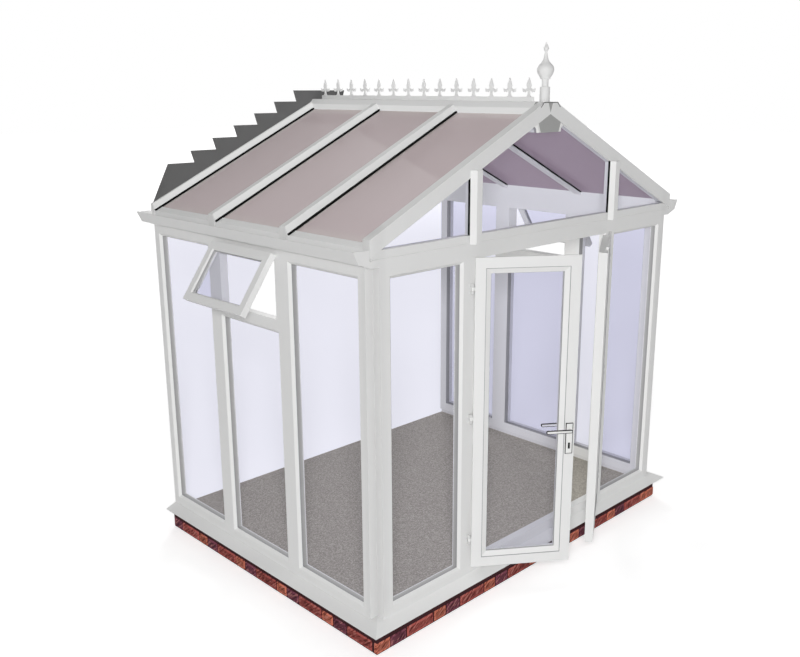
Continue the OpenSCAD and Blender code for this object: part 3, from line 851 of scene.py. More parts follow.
@dataclass
class BrickPlinth:
    """The low walls, laid brick by brick in front of a mortar core.

    Attributes:
        paint: The finishes.
        half: Half the width over the outer faces.
        depth: Distance from the house wall to the front face.
        height: Height of the walls.
        thick: Thickness of the walls.
        course: Height of a course with its joint.
        joint: Width of an upright joint.
        bed: Height of a level joint.
        slip: Depth of a brick behind the face.
        sunk: Depth of the mortar behind the face.
        kinds: Kinds of brick in order, with their lengths including a joint.
        corner: Length of the corner brick's short face.
        foot: Height of the joint under a brick.
        rim: Width of the paler rim of a brick's face.
        tones: Factors on a brick's colour at its rim and in its field.
        worn: Rounding of a brick's edges.
        second: Length of the first brick in the upper course.
    """

    paint: Paint
    half: float = 1.456
    depth: float = 2.196
    height: float = 0.150
    thick: float = 0.103
    course: float = 0.101
    joint: float = 0.012
    bed: float = 0.030
    slip: float = 0.030
    sunk: float = 0.005
    kinds: tuple[tuple[Clay, float], ...] = (
        (Clay.PURPLE, 0.1215), (Clay.RED, 0.2240), (Clay.ORANGE, 0.1090))
    corner: float = 0.031
    foot: float = 0.007
    rim: float = 0.016
    tones: Pair = (1.25, 0.72)
    worn: float = 0.003
    second: float = 0.06

    def row(self, run: float, first: int, lead: float) -> list[tuple[float, float, Clay]]:
        """Lays out one course.

        Args:
            run: Length of the course.
            first: Index of the first kind of brick.
            lead: Length of the first brick.

        Returns:
            Start, end and kind of each brick.
        """
        bricks = []
        start, kind, length = 0.0, first, lead
        while start < run - 0.02:
            end = min(start + length, run)
            bricks.append((start, end, self.kinds[kind % 3][0]))
            start, kind = end, kind + 1
            length = self.kinds[kind % 3][1]
        return bricks

    def lay(self, bm: Mesh, start: float, end: float, level: int, back: float,
            colour: Sequence[float]) -> None:
        """Lays one brick with worn edges.

        Args:
            bm: Mesh to add to.
            start: Start along the wall.
            end: End along the wall.
            level: Index of the course.
            back: Depth of its back behind the face.
            colour: Colour of its clay.
        """
        tone = bm.loops.layers.float_color["tone"]
        low = level * self.course + self.foot
        high = min((level + 1) * self.course - self.bed, self.height)
        verts = Shop.box(bm, (start + self.joint / 2, 0.0, low), (end - self.joint / 2, back, high))
        Shop.coat(verts, 1)
        faces = list({face for vert in verts for face in vert.link_faces})
        for loop in (loop for face in faces for loop in face.loops):
            loop[tone] = (*[c * self.tones[0] for c in colour], 1.0)
        bm.normal_update()
        fields = [face for face in faces if abs(face.normal.z) < 0.5]
        bmesh.ops.inset_individual(bm, faces=fields, thickness=self.rim)
        for loop in (loop for face in fields for loop in face.loops):
            loop[tone] = (*[c * self.tones[1] for c in colour], 1.0)
        touching = {edge for vert in verts for edge in vert.link_edges if edge.other_vert(vert) in verts}
        bmesh.ops.bevel(bm, geom=list(touching), offset=self.worn, affect="EDGES", segments=2, profile=0.5,
                        material=-1)

    def wall(self, name: str, node: str, place: Matrix, run: float, lead: tuple[int, float],
             corner: bool) -> bpy.types.Object:
        """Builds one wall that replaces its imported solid.

        Args:
            name: Name of the piece.
            node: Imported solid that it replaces.
            place: From the wall's own frame, X along it and -Y outwards, to the building's.
            run: Length of the wall.
            lead: Kind and length of the lower course's first brick.
            corner: Whether the wall ends in a corner brick of full thickness.

        Returns:
            The wall.
        """
        bm = bmesh.new()
        bm.loops.layers.float_color.new("tone")
        end = run - self.sunk if corner else run
        Shop.box(bm, (0.0, self.sunk, 0.0), (end, self.thick - self.sunk, self.height))
        laid = run - self.corner if corner else run
        for level, (first, length) in enumerate((lead, (lead[0] + 1, self.second))):
            for index, (start, stop, clay) in enumerate(self.row(laid, first, length)):
                wobble = 1.0 + 0.13 * math.sin(index * 2.4 + level * 1.3)
                self.lay(bm, start, stop, level, self.slip, [c * wobble for c in clay.value])
            if corner:
                self.lay(bm, laid, run + self.joint / 2, level, self.thick, Clay.ORANGE.value)
        bmesh.ops.transform(bm, matrix=place, verts=bm.verts)
        made = Shop.piece(bm, name, (self.paint.mortar, self.paint.brick), Body.BUILDING, Slot.BRICK)
        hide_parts(node)
        return made

    def build(self) -> None:
        """Builds the three walls."""
        left = Matrix.Translation((-self.half, HOUSE_Y, 0.0)) @ LEFT_TURN
        self.wall("left_brick_wall", "plinth_left", left, self.depth, (0, 0.115), True)
        self.wall("right_brick_wall", "plinth_right", MIRROR @ left, self.depth, (0, 0.115), True)
        front = Matrix.Translation((self.thick - self.half, HOUSE_Y - self.depth, 0.0))
        between = 2.0 * (self.half - self.thick)
        self.wall("front_brick_wall", "plinth_front", front, between, (0, 0.130), False)


@dataclass(frozen=True)
class Opening:
    """A glazed opening in a frame's own directions.

    Attributes:
        low: Lowest X and Z.
        high: Highest X and Z.
    """

    low: Pair
    high: Pair

    def wider(self, margin: float) -> "Opening":
        """The opening with a margin on all sides."""
        return Opening((self.low[0] - margin, self.low[1] - margin),
                       (self.high[0] + margin, self.high[1] + margin))


@dataclass(frozen=True)
class Leaf:
    """A door leaf, whose own frame is the closed leaf's with Y from its outer face inwards.

    Attributes:
        side: Half of the doorway.
        body: Body that the leaf is.
        angle: Angle in degrees at which it stands open.
        glazing: Its glazed opening.
    """

    side: Side
    body: Body
    angle: float
    glazing: Opening = Opening((-0.575, 0.333), (-0.145, 2.070))

    def place(self) -> Matrix:
        """Says where the leaf stands at rest.

        Returns:
            Matrix from the leaf's own frame to the building's.
        """
        pin = Vector((-0.682, HOUSE_Y - 2.187, 0.0))
        swing = Matrix.Rotation(math.radians(-self.angle), 4, "Z")
        turned = Matrix.Translation(pin) @ swing @ Matrix.Translation(-pin)
        closed = turned @ Matrix.Translation((0.0, HOUSE_Y - 2.191, 0.0))
        return MIRROR @ closed if self.side is Side.RIGHT else closed


LEFT_LEAF = Leaf(Side.LEFT, Body.LEFT_DOOR, 36.5)
RIGHT_LEAF = Leaf(Side.RIGHT, Body.RIGHT_DOOR, 32.0)


@dataclass
class Glazing:
    """Grey linings of the reveals in walls, vents and leaves, and a line of painted shade round the
    leaves' beads.

    Attributes:
        paint: The finishes.
        skin: Thickness of a lining.
        bay: Length of a side bay.
        sight: Distance from a bay's end to its glass.
        low: Height of the glass over the ground.
        high: Height of its upper edge.
        transom: Height of the middle light's upper edge.
        front: Nearer and farther end of the front glass from the middle.
        outer: Front and back of the linings outside the wall glass.
        inner: Front and back of the linings inside the side walls.
        sash_depths: Front and back of the linings outside the vent glass.
        leaf_depths: Front and back of the linings outside the leaf glass.
        vent_angle: Angle in degrees at which the vents stand open.
        vent_top: Height of the vents' pivot.
        vent: Glazed opening of a shut vent.
        bead: Width of the leaf bead.
    """

    paint: Paint
    skin: float = 0.0015
    bay: float = 0.706
    sight: float = 0.070
    low: float = 0.255
    high: float = 2.133
    transom: float = 1.706
    front: Pair = (0.760, 1.292)
    outer: Pair = (0.0163, 0.0458)
    inner: Pair = (0.0542, 0.0957)
    sash_depths: Pair = (-0.0315, -0.0142)
    leaf_depths: Pair = (0.0183, 0.0298)
    vent_angle: float = 34.7
    vent_top: float = 2.165
    vent: Opening = Opening((0.811, 1.825), (1.307, 2.110))
    bead: float = 0.033

    def openings(self, wall: Wall) -> list[Opening]:
        """Lists the glazed openings of a wall.

        Args:
            wall: The wall.

        Returns:
            Its openings, without the vent.
        """
        if wall is Wall.FRONT:
            near, far = self.front
            ends = ((-far, -near), (near, far))
            return [Opening((start, self.low), (stop, self.high)) for start, stop in ends]
        made = []
        for index, top in enumerate((self.high, self.transom, self.high)):
            start = index * self.bay
            made.append(Opening((start + self.sight, self.low), (start + self.bay - self.sight, top)))
        return made

    def line(self, bm: Mesh, hole: Opening, depths: Pair, shades: Pair,
             skin: float = 0.0) -> None:
        """Lines one reveal.

        Args:
            bm: Mesh to add to.
            hole: The opening.
            depths: Front and back of the lining.
            shades: Shade at the front and at the back.
            skin: Thickness, or 0 for the usual one.
        """
        layer = bm.loops.layers.float_color.get("shade") or bm.loops.layers.float_color.new("shade")
        front, back = Shop.ring(bm, hole.low, hole.high, skin or self.skin, depths)
        for verts, shade in ((front, shades[0]), (back, shades[1])):
            for vert in verts:
                for loop in vert.link_loops:
                    loop[layer] = (shade, shade, shade, 1.0)

    def finish(self, bm: Mesh, name: str, place: Matrix, body: Body,
               pale: bool = False) -> None:
        """Places a set of linings and makes it a piece.

        Args:
            bm: The linings.
            name: Name of the piece.
            place: From the frame's directions to the building's.
            body: Body that it rides on.
            pale: Whether the linings take the pale lining, which is painted light.
        """
        bmesh.ops.transform(bm, matrix=place, verts=bm.verts)
        Shop.piece(bm, name, (self.paint.painted_light_lining if pale else self.paint.lining,), body, Slot.GREY)

    def walls(self) -> None:
        """Lines the reveals of the three walls, the right one on both sides of its glass, with painted
        light on the right one's outer linings.
        """
        for wall in Wall:
            bm = bmesh.new()
            for hole in self.openings(wall):
                self.line(bm, hole, self.outer, (0.07, 0.36))
            name = f"{wall.value}_reveal_linings"
            # The right wall's outer linings take the pale lining: painted light.
            self.finish(bm, name, wall.place(), Body.BUILDING, wall is Wall.RIGHT)
        bm = bmesh.new()
        for hole in self.openings(Wall.RIGHT):
            self.line(bm, hole, self.inner, (0.0, 0.22))
        self.finish(bm, "right_inner_linings", Wall.RIGHT.place(), Body.BUILDING)

    def vents(self) -> None:
        """Lines the reveals of both vents."""
        pivot = Matrix.Translation((0.0, 0.0, self.vent_top))
        swing = pivot @ Matrix.Rotation(math.radians(-self.vent_angle), 4, "X") @ pivot.inverted()
        for wall in (Wall.LEFT, Wall.RIGHT):
            bm = bmesh.new()
            self.line(bm, self.vent, self.sash_depths, (0.1, 0.45))
            self.finish(bm, f"{wall.value}_vent_lining", wall.place() @ swing, Body.BUILDING)

    def leaves(self) -> None:
        """Lines the reveals of both leaves, and paints shade as a dark ring on the leaf face round their
        beads.
        """
        for leaf in (LEFT_LEAF, RIGHT_LEAF):
            bm = bmesh.new()
            self.line(bm, leaf.glazing, self.leaf_depths, (0.1, 0.3))
            # Dark ring round the bead on the leaf face: painted shade in the joint.
            self.line(bm, leaf.glazing.wider(self.bead), (0.0006, 0.0036), (0.0, 0.0), 0.004)
            self.finish(bm, f"{leaf.side.word}_leaf_lining", leaf.place(), leaf.body)

    def build(self) -> None:
        """Builds all linings."""
        self.walls()
        self.vents()
        self.leaves()


@dataclass
class RoofTrim:
    """Gaskets, sheet closers and bar ends on both slopes.

    Attributes:
        paint: The finishes.
        pitch: Pitch in degrees.
        glaze_z: Height of the sheet tops over the ground at the ridge line.
        ridge: Distance of the sheets from the ridge line.
        eaves: Distance of the sheet ends from the ridge line.
        bar_end: Distance of the bar ends from the ridge line.
        bars: Back and front of each bar's cap, from the house wall.
        lip: Overlap of a cap on the sheets.
        cap_up: Height of the caps over the sheets.
        rake: Run of a cap's raked side.
        sheet: Thickness of the sheets.
        gable: Back of the gable bars, from the house wall.
        gasket: Half width and height of the gaskets over the sheets.
        gasket_end: Distance of their lower ends from the ridge line.
        under_gasket: Width and depth of the gaskets under the sheets.
        under_run: Distances of their ends from the ridge line.
        line: Upper and lower edge of the line across a sheet's lower end, up from that end; the line is in
            the pale lining, painted light.
        closer: Inner and outer face of the closer's upright leg, past the sheet's end.
        closer_z: Bottom and top of that leg, from the sheet's top edge.
        painted_light_strip_end: Distance from the ridge line of the upper end of the pale strip inside the
            sheet, which is painted light over the eaves beam's shaded top.
        tuck: Overlap of the closer's leg and of the inner strip on the bars.
    """

    paint: Paint
    pitch: float = 25.2
    glaze_z: float = 2.97405
    ridge: float = 0.090
    eaves: float = 1.436
    bar_end: float = 1.442
    bars: tuple[Pair, ...] = ((0.0, 0.045), (0.677, 0.771), (1.403, 1.497))
    lip: float = 0.017
    cap_up: float = 0.045
    rake: float = 0.026
    sheet: float = 0.025
    gable: float = 2.118
    gasket: Pair = (0.0075, 0.0105)
    gasket_end: float = 1.439
    under_gasket: Pair = (0.008, 0.009)
    under_run: Pair = (0.115, 1.334)
    line: Pair = (0.043, 0.037)
    closer: Pair = (0.0004, 0.0035)
    closer_z: Pair = (-0.0300, 0.0012)
    painted_light_strip_end: float = 1.320
    tuck: Pair = (0.012, 0.010)

    def on_slope(self, side: Side, along: float, out: float, up: float) -> Vector:
        """Point on a slope.

        Args:
            side: Half of the roof.
            along: Level distance from the ridge line.
            out: Distance from the house wall.
            up: Height over the sheet, square to it.

        Returns:
            The point.
        """
        angle = math.radians(self.pitch)
        level = along + up * math.sin(angle)
        z = self.glaze_z - along * math.tan(angle) + up * math.cos(angle)
        return Shop.spot(side.value * level, out, z)

    def strip(self, bm: Mesh, side: Side, ends: Pair, outs: Pair, ups: Pair) -> None:
        """Adds a bar with a rectangular section along a slope.

        Args:
            bm: Mesh to add to.
            side: Half of the roof.
            ends: Upper and lower end, as level distances from the ridge line.
            outs: Back and front, from the house wall.
            ups: Bottom and top over the sheet.
        """
        section = ((outs[0], ups[0]), (outs[1], ups[0]), (outs[1], ups[1]), (outs[0], ups[1]))
        corners = [self.on_slope(side, ends[0], out, up) for out, up in section]
        reach = self.on_slope(side, ends[1], outs[0], ups[0]) - corners[0]
        Shop.prism(bm, corners, reach)

    def gaskets(self, side: Side) -> None:
        """Black gaskets over and under the sheets, along the side of every bar that looks to the gable.

        Args:
            side: Half of the roof.
        """
        bm = bmesh.new()
        half, high = self.gasket
        for _, front in self.bars:
            self.strip(bm, side, (self.ridge, self.gasket_end), (front - half, front + half), (0.0, high))
            if side is Side.RIGHT:
                web = front - self.lip
                wide, deep = self.under_gasket
                self.strip(bm, side, self.under_run, (web, web + wide), (-self.sheet - deep, -self.sheet))
        Shop.piece(bm, f"{side.word}_roof_gaskets", (self.paint.rubber,))

    def closers(self, side: Side) -> None:
        """White closer over the lower edge of each sheet in the lighter plastic, a line across the sheet's
        end in the pale lining, and a pale strip inside the sheet over the eaves beam's shaded top: all
        painted light.

        Args:
            side: Half of the roof.
        """
        bm = bmesh.new()
        fronts = [front for _, front in self.bars]
        backs = [back for back, _ in self.bars[1:]] + [self.gable]
        top = self.on_slope(side, self.eaves, 0.0, 0.0).z
        for front, back in zip(fronts, backs):
            ends = (front - self.tuck[0], min(back + self.tuck[0], self.gable - 0.0005))
            low = Shop.spot(side.value * (self.eaves + self.closer[0]), ends[0], top + self.closer_z[0])
            high = Shop.spot(side.value * (self.eaves + self.closer[1]), ends[1], top + self.closer_z[1])
            Shop.box(bm, low, high)
            # Line across the sheet's lower end, coated with the pale lining: painted light.
            before = set(bm.verts)
            upper, lower = self.eaves - self.line[0], self.eaves - self.line[1]
            between = (front + 0.0080, back - 0.0005)
            self.strip(bm, side, (upper, lower), between, (0.0003, 0.0030))
            Shop.coat(set(bm.verts) - before, 1)
            self.strip(bm, side, (lower, self.eaves + 0.002), between, (0.0003, 0.0022))
            # Pale strip inside the sheet over the eaves beam, standing in for light on the beam's shaded
            # top: painted light.
            inside = (front - self.tuck[1], back + self.tuck[1])
            self.strip(bm, side, (self.painted_light_strip_end, self.eaves - 0.0005), inside,
                       (-self.sheet + 0.0015, -self.sheet + 0.004))
        finishes = (self.paint.bright, self.paint.painted_light_lining)
        Shop.piece(bm, f"{side.word}_sheet_closers", finishes)

    def ends(self, side: Side) -> None:
        """Cover on the lower end of each bar, with a dark joint behind it.

        Args:
            side: Half of the roof.
        """
        bm = bmesh.new()
        rise = 1.0 / math.cos(math.radians(self.pitch))
        base = self.glaze_z - math.tan(math.radians(self.pitch)) * self.bar_end
        for back, front in self.bars:
            for grow, near, far, coat in ((0.0006, 0.0003, 0.0008, 1), (0.0, 0.0008, 0.0040, 0)):
                hind = max(back - grow, 0.0)
                rear = self.rake if back > 0.0 else 0.0
                top = self.cap_up * rise + grow
                section = ((front + grow, 0.0), (front - self.rake + grow, top),
                           (hind + rear, top), (hind, 0.0))
                end = side.value * (self.bar_end + near)
                corners = [Shop.spot(end, out, base + up) for out, up in section]
                Shop.coat(Shop.prism(bm, corners, (side.value * (far - near), 0.0, 0.0)), coat)
        made = (self.paint.white, self.paint.grey)
        Shop.piece(bm, f"{side.word}_bar_ends", made)

    def build(self) -> None:
        """Builds the trim of both slopes."""
        for side in Side:
            self.gaskets(side)
            self.closers(side)
            self.ends(side)


@dataclass
class GableTrim:
    """Gaskets beside the gable posts and the brackets beside the boss.

    Attributes:
        paint: The finishes.
        posts: Places of the posts across the gable.
        web: Half width of a post between the glass.
        cover: Half width of a post's cover.
        glass: Front of the glass, from the house wall.
        tie_top: Height of the tie beam.
        apex: Height of the gable bars' lower edges at the ridge line.
        slope: Fall of the gable bars.
        notch: Half width of the notch between the bars at the ridge, and height of its foot.
    """

    paint: Paint
    posts: Pair = (-0.650, 0.705)
    web: float = 0.030
    cover: float = 0.048
    glass: float = 2.156
    tie_top: float = 2.289
    apex: float = 2.934
    slope: float = 0.470564
    notch: Pair = (0.0230, 2.9402)

    def under(self, x: float) -> float:
        """Height of the gable bars' lower edge."""
        return self.apex - self.slope * abs(x)

    def gaskets(self) -> None:
        """Black gasket under each edge of the post covers."""
        bm = bmesh.new()
        for middle in self.posts:
            for edge in (-1.0, 1.0):
                near = middle + edge * self.web
                far = middle + edge * self.cover
                low = self.tie_top + 0.0003
                outline = ((near, low), (far, low),
                           (far, self.under(far) - 0.0006), (near, self.under(near) - 0.0006))
                corners = [Shop.spot(x, self.glass + 0.0002, z) for x, z in outline]
                Shop.prism(bm, corners, (0.0, self.glass - FRONT_OUT + 0.0004, 0.0))
        Shop.piece(bm, "gable_post_gaskets", (self.paint.rubber,))

    def brackets(self) -> None:
        """White bracket on each side of the boss, in the lighter copy of the frame plastic: painted light.
        """
        bm = bmesh.new()
        for side in Side:
            outline = ((0.1045, self.under(0.1045) - 0.001), (0.0835, 2.829), (0.112, 2.829),
                       (0.116, 2.852), (0.136, self.under(0.136) - 0.001))
            corners = [Shop.spot(side.value * x, self.glass + 0.0005, z) for x, z in outline]
            Shop.prism(bm, corners, (0.0, -0.012, 0.0))
        Shop.soften(bm, 0.0015)
        Shop.piece(bm, "boss_brackets", (self.paint.bright,))

    def wedge(self) -> None:
        """Grey wedge between the tops of the gable bars, and the dark edge of the ridge cap over it."""
        bm = bmesh.new()
        top = RIDGE_Z - 0.0005
        half = self.notch[0] - 0.0004
        corners = [Shop.spot(x, FRONT_OUT - 0.0006, z)
                   for x, z in ((-half, top), (0.0, self.notch[1] + 0.0005), (half, top))]
        Shop.prism(bm, corners, (0.0, 0.02, 0.0))
        band = 0.0055
        shoulder, skirt = (0.067, top), (0.094, top - 0.0265)
        for side in Side:
            outline = (shoulder, skirt, (skirt[0] - 0.003, skirt[1] - band),
                       (shoulder[0] - 0.003, shoulder[1] - band), (0.0, shoulder[1] - band),
                       (0.0, shoulder[1]))
            corners = [Shop.spot(side.value * x, FRONT_OUT + 0.0003, z) for x, z in outline]
            Shop.coat(Shop.prism(bm, corners, (0.0, -0.0012, 0.0)), 1)
        Shop.piece(bm, "ridge_end_wedge", (self.paint.grey, self.paint.dark), Body.BUILDING, Slot.GREY)

    def build(self) -> None:
        """Builds gaskets, brackets and wedge."""
        self.gaskets()
        self.brackets()
        self.wedge()


@dataclass
class Crest:
    """Cresting along the ridge and the turned finial at its front end.

    Attributes:
        paint: The finishes.
        count: Number of fleurs.
        first: Distance of the first fleur from the house wall.
        pitch: Distance between fleurs.
        height: Height of a fleur over its strip.
        thick: Thickness of the cresting.
        strip: Height of the strip.
        half: Half of a fleur's outline as shares of its height, from the tip down.
        finial_out: Distance of the finial from the house wall.
        finial_r: Radius of the finial's base.
        finial_h: Height of the finial.
        turning: Profile of the finial as shares of its radius and height.
    """

    paint: Paint
    count: int = 14
    first: float = 0.0765
    pitch: float = 0.14830
    height: float = 0.114
    thick: float = 0.010
    strip: float = 0.028
    half: tuple[Pair, ...] = (
        (0.0, 1.0), (0.045, 0.88), (0.095, 0.76), (0.14, 0.65), (0.152, 0.58), (0.125, 0.5), (0.09, 0.43),
        (0.17, 0.44), (0.24, 0.375), (0.33, 0.40), (0.43, 0.44), (0.41, 0.33), (0.36, 0.24), (0.3, 0.31),
        (0.23, 0.22), (0.17, 0.31), (0.09, 0.33), (0.065, 0.24), (0.07, 0.14), (0.11, 0.06), (0.19, 0.0),
        (0.0, 0.0))
    finial_out: float = 2.124
    finial_r: float = 0.030
    finial_h: float = 0.338
    turning: tuple[Pair, ...] = (
        (0.0, 0.0), (0.97, 0.0), (1.0, 0.004), (1.0, 0.246), (0.96, 0.252), (0.70, 0.256), (0.66, 0.262),
        (0.66, 0.372), (0.70, 0.382), (0.97, 0.386), (1.0, 0.392), (1.0, 0.402), (1.09, 0.418),
        (1.24, 0.44), (1.42, 0.465), (1.57, 0.492), (1.66, 0.52), (1.68, 0.545), (1.64, 0.572),
        (1.52, 0.598), (1.32, 0.622), (1.07, 0.644), (0.84, 0.665), (0.66, 0.69), (0.51, 0.72),
        (0.40, 0.752), (0.32, 0.785), (0.27, 0.818), (0.25, 0.845), (0.33, 0.855), (0.45, 0.868),
        (0.52, 0.886), (0.51, 0.902), (0.43, 0.922), (0.31, 0.943), (0.18, 0.968), (0.07, 0.99),
        (0.0, 1.0))

    def cresting(self) -> None:
        """Fleurs on their strip, each cut from sheet with eased edges."""
        bm = bmesh.new()
        base = RIDGE_Z + self.strip - 0.001
        corners = [(self.thick / 2, -x * self.height, base + z * self.height) for x, z in self.half]
        bm.faces.new([bm.verts.new(corner) for corner in corners])
        flat = list(bm.verts) + list(bm.edges) + list(bm.faces)
        bmesh.ops.mirror(bm, geom=flat, matrix=Matrix.Identity(4), merge_dist=0.00001, axis="Y")
        bmesh.ops.dissolve_limit(bm, angle_limit=0.01, verts=bm.verts, edges=bm.edges)
        bmesh.ops.recalc_face_normals(bm, faces=bm.faces)
        Shop.grow(bm, list(bm.faces), (-self.thick, 0.0, 0.0))
        Shop.soften(bm, 0.0016, sharp=50.0, segments=1)
        single = list(bm.verts) + list(bm.edges) + list(bm.faces)
        for index in range(1, self.count):
            copy = bmesh.ops.duplicate(bm, geom=single)["geom"]
            verts = [part for part in copy if isinstance(part, bmesh.types.BMVert)]
            bmesh.ops.translate(bm, verts=verts, vec=(0.0, -index * self.pitch, 0.0))
        bmesh.ops.translate(bm, verts=bm.verts, vec=(0.0, HOUSE_Y - self.first, 0.0))
        last = self.first + (self.count - 1) * self.pitch
        low = Shop.spot(-self.thick / 2, self.first / 2, RIDGE_Z)
        high = Shop.spot(self.thick / 2, self.first / 2 + last, RIDGE_Z + self.strip)
        Shop.soften(bm, 0.002, Shop.box(bm, low, high))
        made = Shop.piece(bm, "cast_cresting", (self.paint.white,))
        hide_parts("ridge_cresting")

    def finial(self) -> None:
        """Finial turned round its upright axis."""
        bm = bmesh.new()
        centre = Shop.spot(0.0, self.finial_out, RIDGE_Z)
        points = [centre + Vector((r * self.finial_r, 0.0, h * self.finial_h)) for r, h in self.turning]
        verts = [bm.verts.new(point) for point in points]
        edges = [bm.edges.new(ends) for ends in zip(verts, verts[1:])]
        bmesh.ops.spin(bm, geom=verts + edges, cent=centre, axis=(0.0, 0.0, 1.0), angle=2.0 * math.pi,
                       steps=56, use_merge=True)
        bmesh.ops.remove_doubles(bm, verts=bm.verts, dist=0.00001)
        made = Shop.piece(bm, "turned_finial", (self.paint.white,), smooth=40.0)
        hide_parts("finial")

    def build(self) -> None:
        """Builds cresting and finial."""
        self.cresting()
        self.finial()


@dataclass
class HandleSet:
    """Plates, keyholes and lever of the left leaf.

    Attributes:
        paint: The finishes.
        spindle: Place of the spindle across the closed leaf and over the ground.
        back: Depth of the leaf's inner face.
        plate_w: Width of a plate.
        plate_h: Height of a plate.
        plate_t: Thickness of a plate.
        over: Height of the plate over the spindle.
        border: Width of the dark border round plate and arm.
        border_t: Thickness of the border round a plate.
        key: Width and height of the keyhole cover.
        key_down: Depth of the keyhole under the spindle.
        arm: Length of the lever arm.
        arm_h: Height of the lever arm.
        arm_t: Thickness of the lever arm.
        neck: Length of the neck from the leaf to the middle of the arm.
        neck_r: Radius of the neck.
    """

    paint: Paint
    spindle: Pair = (-0.0825, 1.107)
    back: float = 0.053
    plate_w: float = 0.046
    plate_h: float = 0.196
    plate_t: float = 0.006
    over: float = 0.042
    border: float = 0.0042
    border_t: float = 0.004
    key: Pair = (0.012, 0.038)
    key_down: float = 0.102
    arm: float = 0.140
    arm_h: float = 0.020
    arm_t: float = 0.012
    neck: float = 0.034
    neck_r: float = 0.008

    def slab(self, bm: Mesh, margin: float, depths: Pair, coat: int) -> None:
        """Adds one layer of a plate.

        Args:
            bm: Mesh to add to.
            margin: How far the layer's edge lies inside the plate's.
            depths: Front and back.
            coat: Index of its material.
        """
        x, z = self.spindle
        half = self.plate_w / 2 - margin
        top = z + self.over - margin
        foot = z + self.over - self.plate_h + margin
        verts = Shop.box(bm, (x - half, depths[0], foot), (x + half, depths[1], top))
        Shop.coat(verts, coat)
        Shop.soften(bm, 0.0012, verts)

    def plates(self) -> None:
        """Both plates with a dark border and a keyhole cover."""
        bm = bmesh.new()
        x, z = self.spindle
        hole = z - self.key_down
        for face, outward in ((0.0, -1.0), (self.back, 1.0)):
            self.slab(bm, 0.0, (face, face + outward * self.border_t), 1)
            self.slab(bm, self.border, (face, face + outward * self.plate_t), 0)
            low = (x - self.key[0] / 2, face + outward * 0.002, hole - self.key[1] / 2)
            high = (x + self.key[0] / 2, face + outward * (self.plate_t + 0.0008), hole + self.key[1] / 2)
            verts = Shop.box(bm, low, high)
            Shop.coat(verts, 1)
            Shop.soften(bm, 0.0006, verts, segments=1)
        bmesh.ops.transform(bm, matrix=LEFT_LEAF.place(), verts=bm.verts)
        finishes = (self.paint.enamel, self.paint.rubber)
        made = Shop.piece(bm, "handle_plate_pair", finishes, Body.LEFT_DOOR, Slot.HANDLE)
        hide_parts("handle_plates")

    def lever(self) -> None:
        """Spindle with a neck and a bordered arm on each side."""
        bm = bmesh.new()
        x, z = self.spindle
        quarter = Matrix.Rotation(math.radians(90.0), 4, "X")
        outer, inner = -self.neck, self.back + self.neck
        place = Matrix.Translation((x, (outer + inner) / 2, z)) @ quarter
        bmesh.ops.create_cone(bm, cap_ends=True, segments=32, radius1=self.neck_r, radius2=self.neck_r,
                              depth=inner - outer, matrix=place)
        for middle in (outer, inner):
            thin = self.arm_t / 2
            for margin, half, coat in ((0.0, thin - 0.0008, 1), (self.border, thin, 0)):
                low = (x - self.arm - self.arm_h / 2 + margin, middle - half, z - self.arm_h / 2 + margin)
                high = (x + self.arm_h / 2 - margin, middle + half, z + self.arm_h / 2 - margin)
                verts = Shop.box(bm, low, high)
                Shop.coat(verts, coat)
                upright = [edge for edge in {edge for vert in verts for edge in vert.link_edges}
                           if abs(edge.verts[0].co.y - edge.verts[1].co.y) > half]
                bmesh.ops.bevel(bm, geom=upright, offset=self.arm_h * 0.42 - margin, affect="EDGES",
                                segments=5, profile=0.5, material=-1)
        bmesh.ops.transform(bm, matrix=LEFT_LEAF.place(), verts=bm.verts)
        finishes = (self.paint.enamel, self.paint.edge)
        made = Shop.piece(bm, "lever_handle", finishes, Body.LEVER, Slot.HANDLE)
        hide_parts("door_lever")

    def build(self) -> None:
        """Builds plates and lever."""
        self.plates()
        self.lever()


@dataclass(frozen=True)
class Lamp:
    """A soft round lamp whose light doesn't weaken with distance.

    Attributes:
        name: Name of the lamp.
        place: Where it stands.
        target: What it points at.
        size: Diameter of its disc.
        power: Power in watts.
    """

    name: str
    place: Point
    target: Point
    size: float
    power: float

    def build(self) -> None:
        """Adds the lamp to the scene."""
        data = bpy.data.lights.new(self.name, "AREA")
        data.shape = "DISK"
        data.size = self.size
        data.energy = self.power
        kit = NodeKit(data)
        even = kit.node("ShaderNodeLightFalloff", None, {"Strength": 1.0})
        kit.finish(kit.node("ShaderNodeEmission", None, {"Strength": kit.out(even, "Constant")}), "Light")
        made = bpy.data.objects.new(self.name, data)
        made.location = self.place
        aim = Vector(self.target) - Vector(self.place)
        made.rotation_euler = aim.to_track_quat("-Z", "Y").to_euler()
        made.visible_camera = False
        bpy.context.scene.collection.objects.link(made)


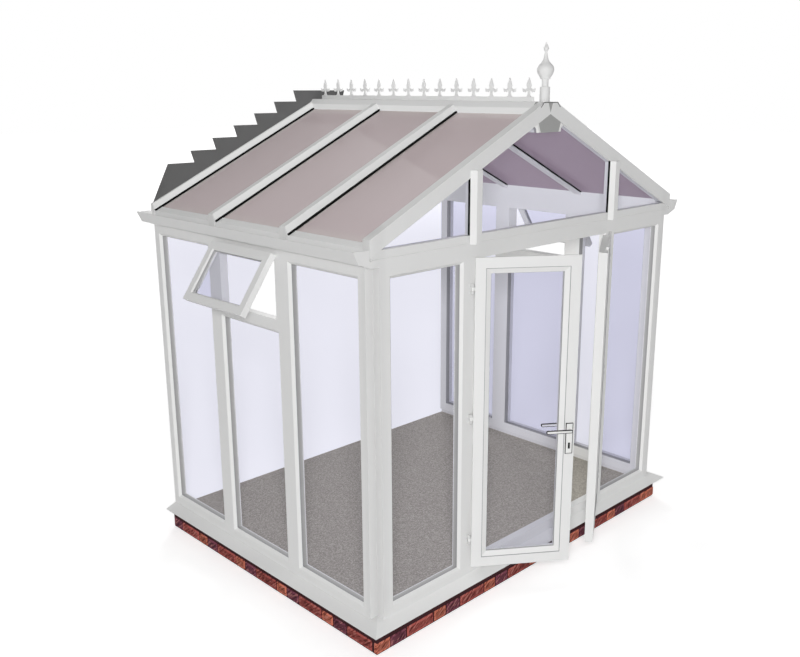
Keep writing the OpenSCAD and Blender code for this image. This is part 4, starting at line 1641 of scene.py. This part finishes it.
@dataclass
class Stage:
    """Camera, lamps, world and floor.

    Attributes:
        eye: Place of the camera.
        turn: Camera rotation in degrees.
        lens: Focal length on a 36 mm sensor.
        shift: Lens shift.
        lamps: A lamp beside the camera, one behind the building and one in the room.
        ambient: Strength of the surroundings' light.
        levels: Glow of the floor, by distance from the middle in twenties of metres.
    """

    eye: Point = (-4.379, -4.386, 3.080)
    turn: Point = (75.17, 0.0, -45.04)
    lens: float = 40.34
    shift: Pair = (-0.0294, -0.0033)
    lamps: tuple[Lamp, ...] = (
        Lamp("key_lamp", (-4.45, -4.46, 3.25), (0.0, 0.0, 1.4), 0.8, 5.9),
        Lamp("fill_lamp", (6.0, 8.0, 6.0), (0.0, 0.0, 1.0), 4.0, 2.4),
        Lamp("room_lamp", (-1.25, -0.85, 1.75), (1.4, 0.35, 1.3), 0.9, 1.8))
    ambient: float = 0.30
    levels: tuple[Pair, ...] = ((0.10, 0.49), (0.50, 0.68), (0.95, 1.0))

    def camera(self) -> None:
        """Places the camera at the photograph's angle."""
        data = bpy.data.cameras.new("camera")
        data.lens = self.lens
        data.sensor_width = 36.0
        data.shift_x, data.shift_y = self.shift
        data.clip_end = 200.0
        made = bpy.data.objects.new("camera", data)
        made.location = self.eye
        made.rotation_euler = [math.radians(a) for a in self.turn]
        bpy.context.scene.collection.objects.link(made)
        bpy.context.scene.camera = made

    def world(self) -> None:
        """White surroundings that light the object softly."""
        world = bpy.data.worlds.new("surroundings")
        kit = NodeKit(world)
        soft = kit.node("ShaderNodeBackground", None, {"Color": (1.0, 1.0, 1.0), "Strength": self.ambient})
        white = kit.node("ShaderNodeBackground", None, {"Color": (1.0, 1.0, 1.0), "Strength": 1.0})
        kit.finish(kit.node("ShaderNodeMixShader", None, {0: kit.seen(), 1: soft, 2: white}), "World")
        bpy.context.scene.world = world

    def floor(self) -> None:
        """Pale floor that keeps a faint shadow."""
        kit = new_kit("pale_floor")
        away = kit.node("ShaderNodeVectorMath", {"operation": "LENGTH"}, {0: kit.place()})
        reach = kit.out(away, "Value")
        stops = [(place, (grey, grey, grey)) for place, grey in self.levels]
        level = kit.ramp(reach * 0.05, stops)
        glow = kit.node("ShaderNodeEmission", None, {"Color": level, "Strength": 1.0})
        diffuse = kit.node("ShaderNodeBsdfDiffuse", None, {"Color": (0.80, 0.80, 0.80)})
        shown = kit.node("ShaderNodeAddShader", None, {0: diffuse, 1: glow})
        material = kit.finish(kit.node("ShaderNodeMixShader", None, {0: kit.seen(), 1: diffuse, 2: shown}))
        bm = bmesh.new()
        bmesh.ops.create_grid(bm, x_segments=1, y_segments=1, size=60.0)
        bmesh.ops.translate(bm, verts=bm.verts, vec=(0.0, 0.0, -0.002))
        mesh = bpy.data.meshes.new("pale_floor")
        bm.to_mesh(mesh)
        bm.free()
        mesh.materials.append(material)
        made = bpy.data.objects.new("pale_floor", mesh)
        bpy.context.scene.collection.objects.link(made)

    def build(self) -> None:
        """Sets up camera, light and floor."""
        self.camera()
        for lamp in self.lamps:
            lamp.build()
        self.world()
        self.floor()
        bpy.context.scene.view_settings.view_transform = "Standard"


def main() -> None:
    """Builds the scene piece by piece."""
    logging.basicConfig(level=logging.INFO, format="%(name)s: %(message)s")
    Stage().build()
    paint = Paint()
    Solids(paint).dress()
    for assembly in (BrickPlinth, Glazing, RoofTrim, GableTrim, Crest, HandleSet):
        assembly(paint).build()


if __name__ == "__main__":
    main()
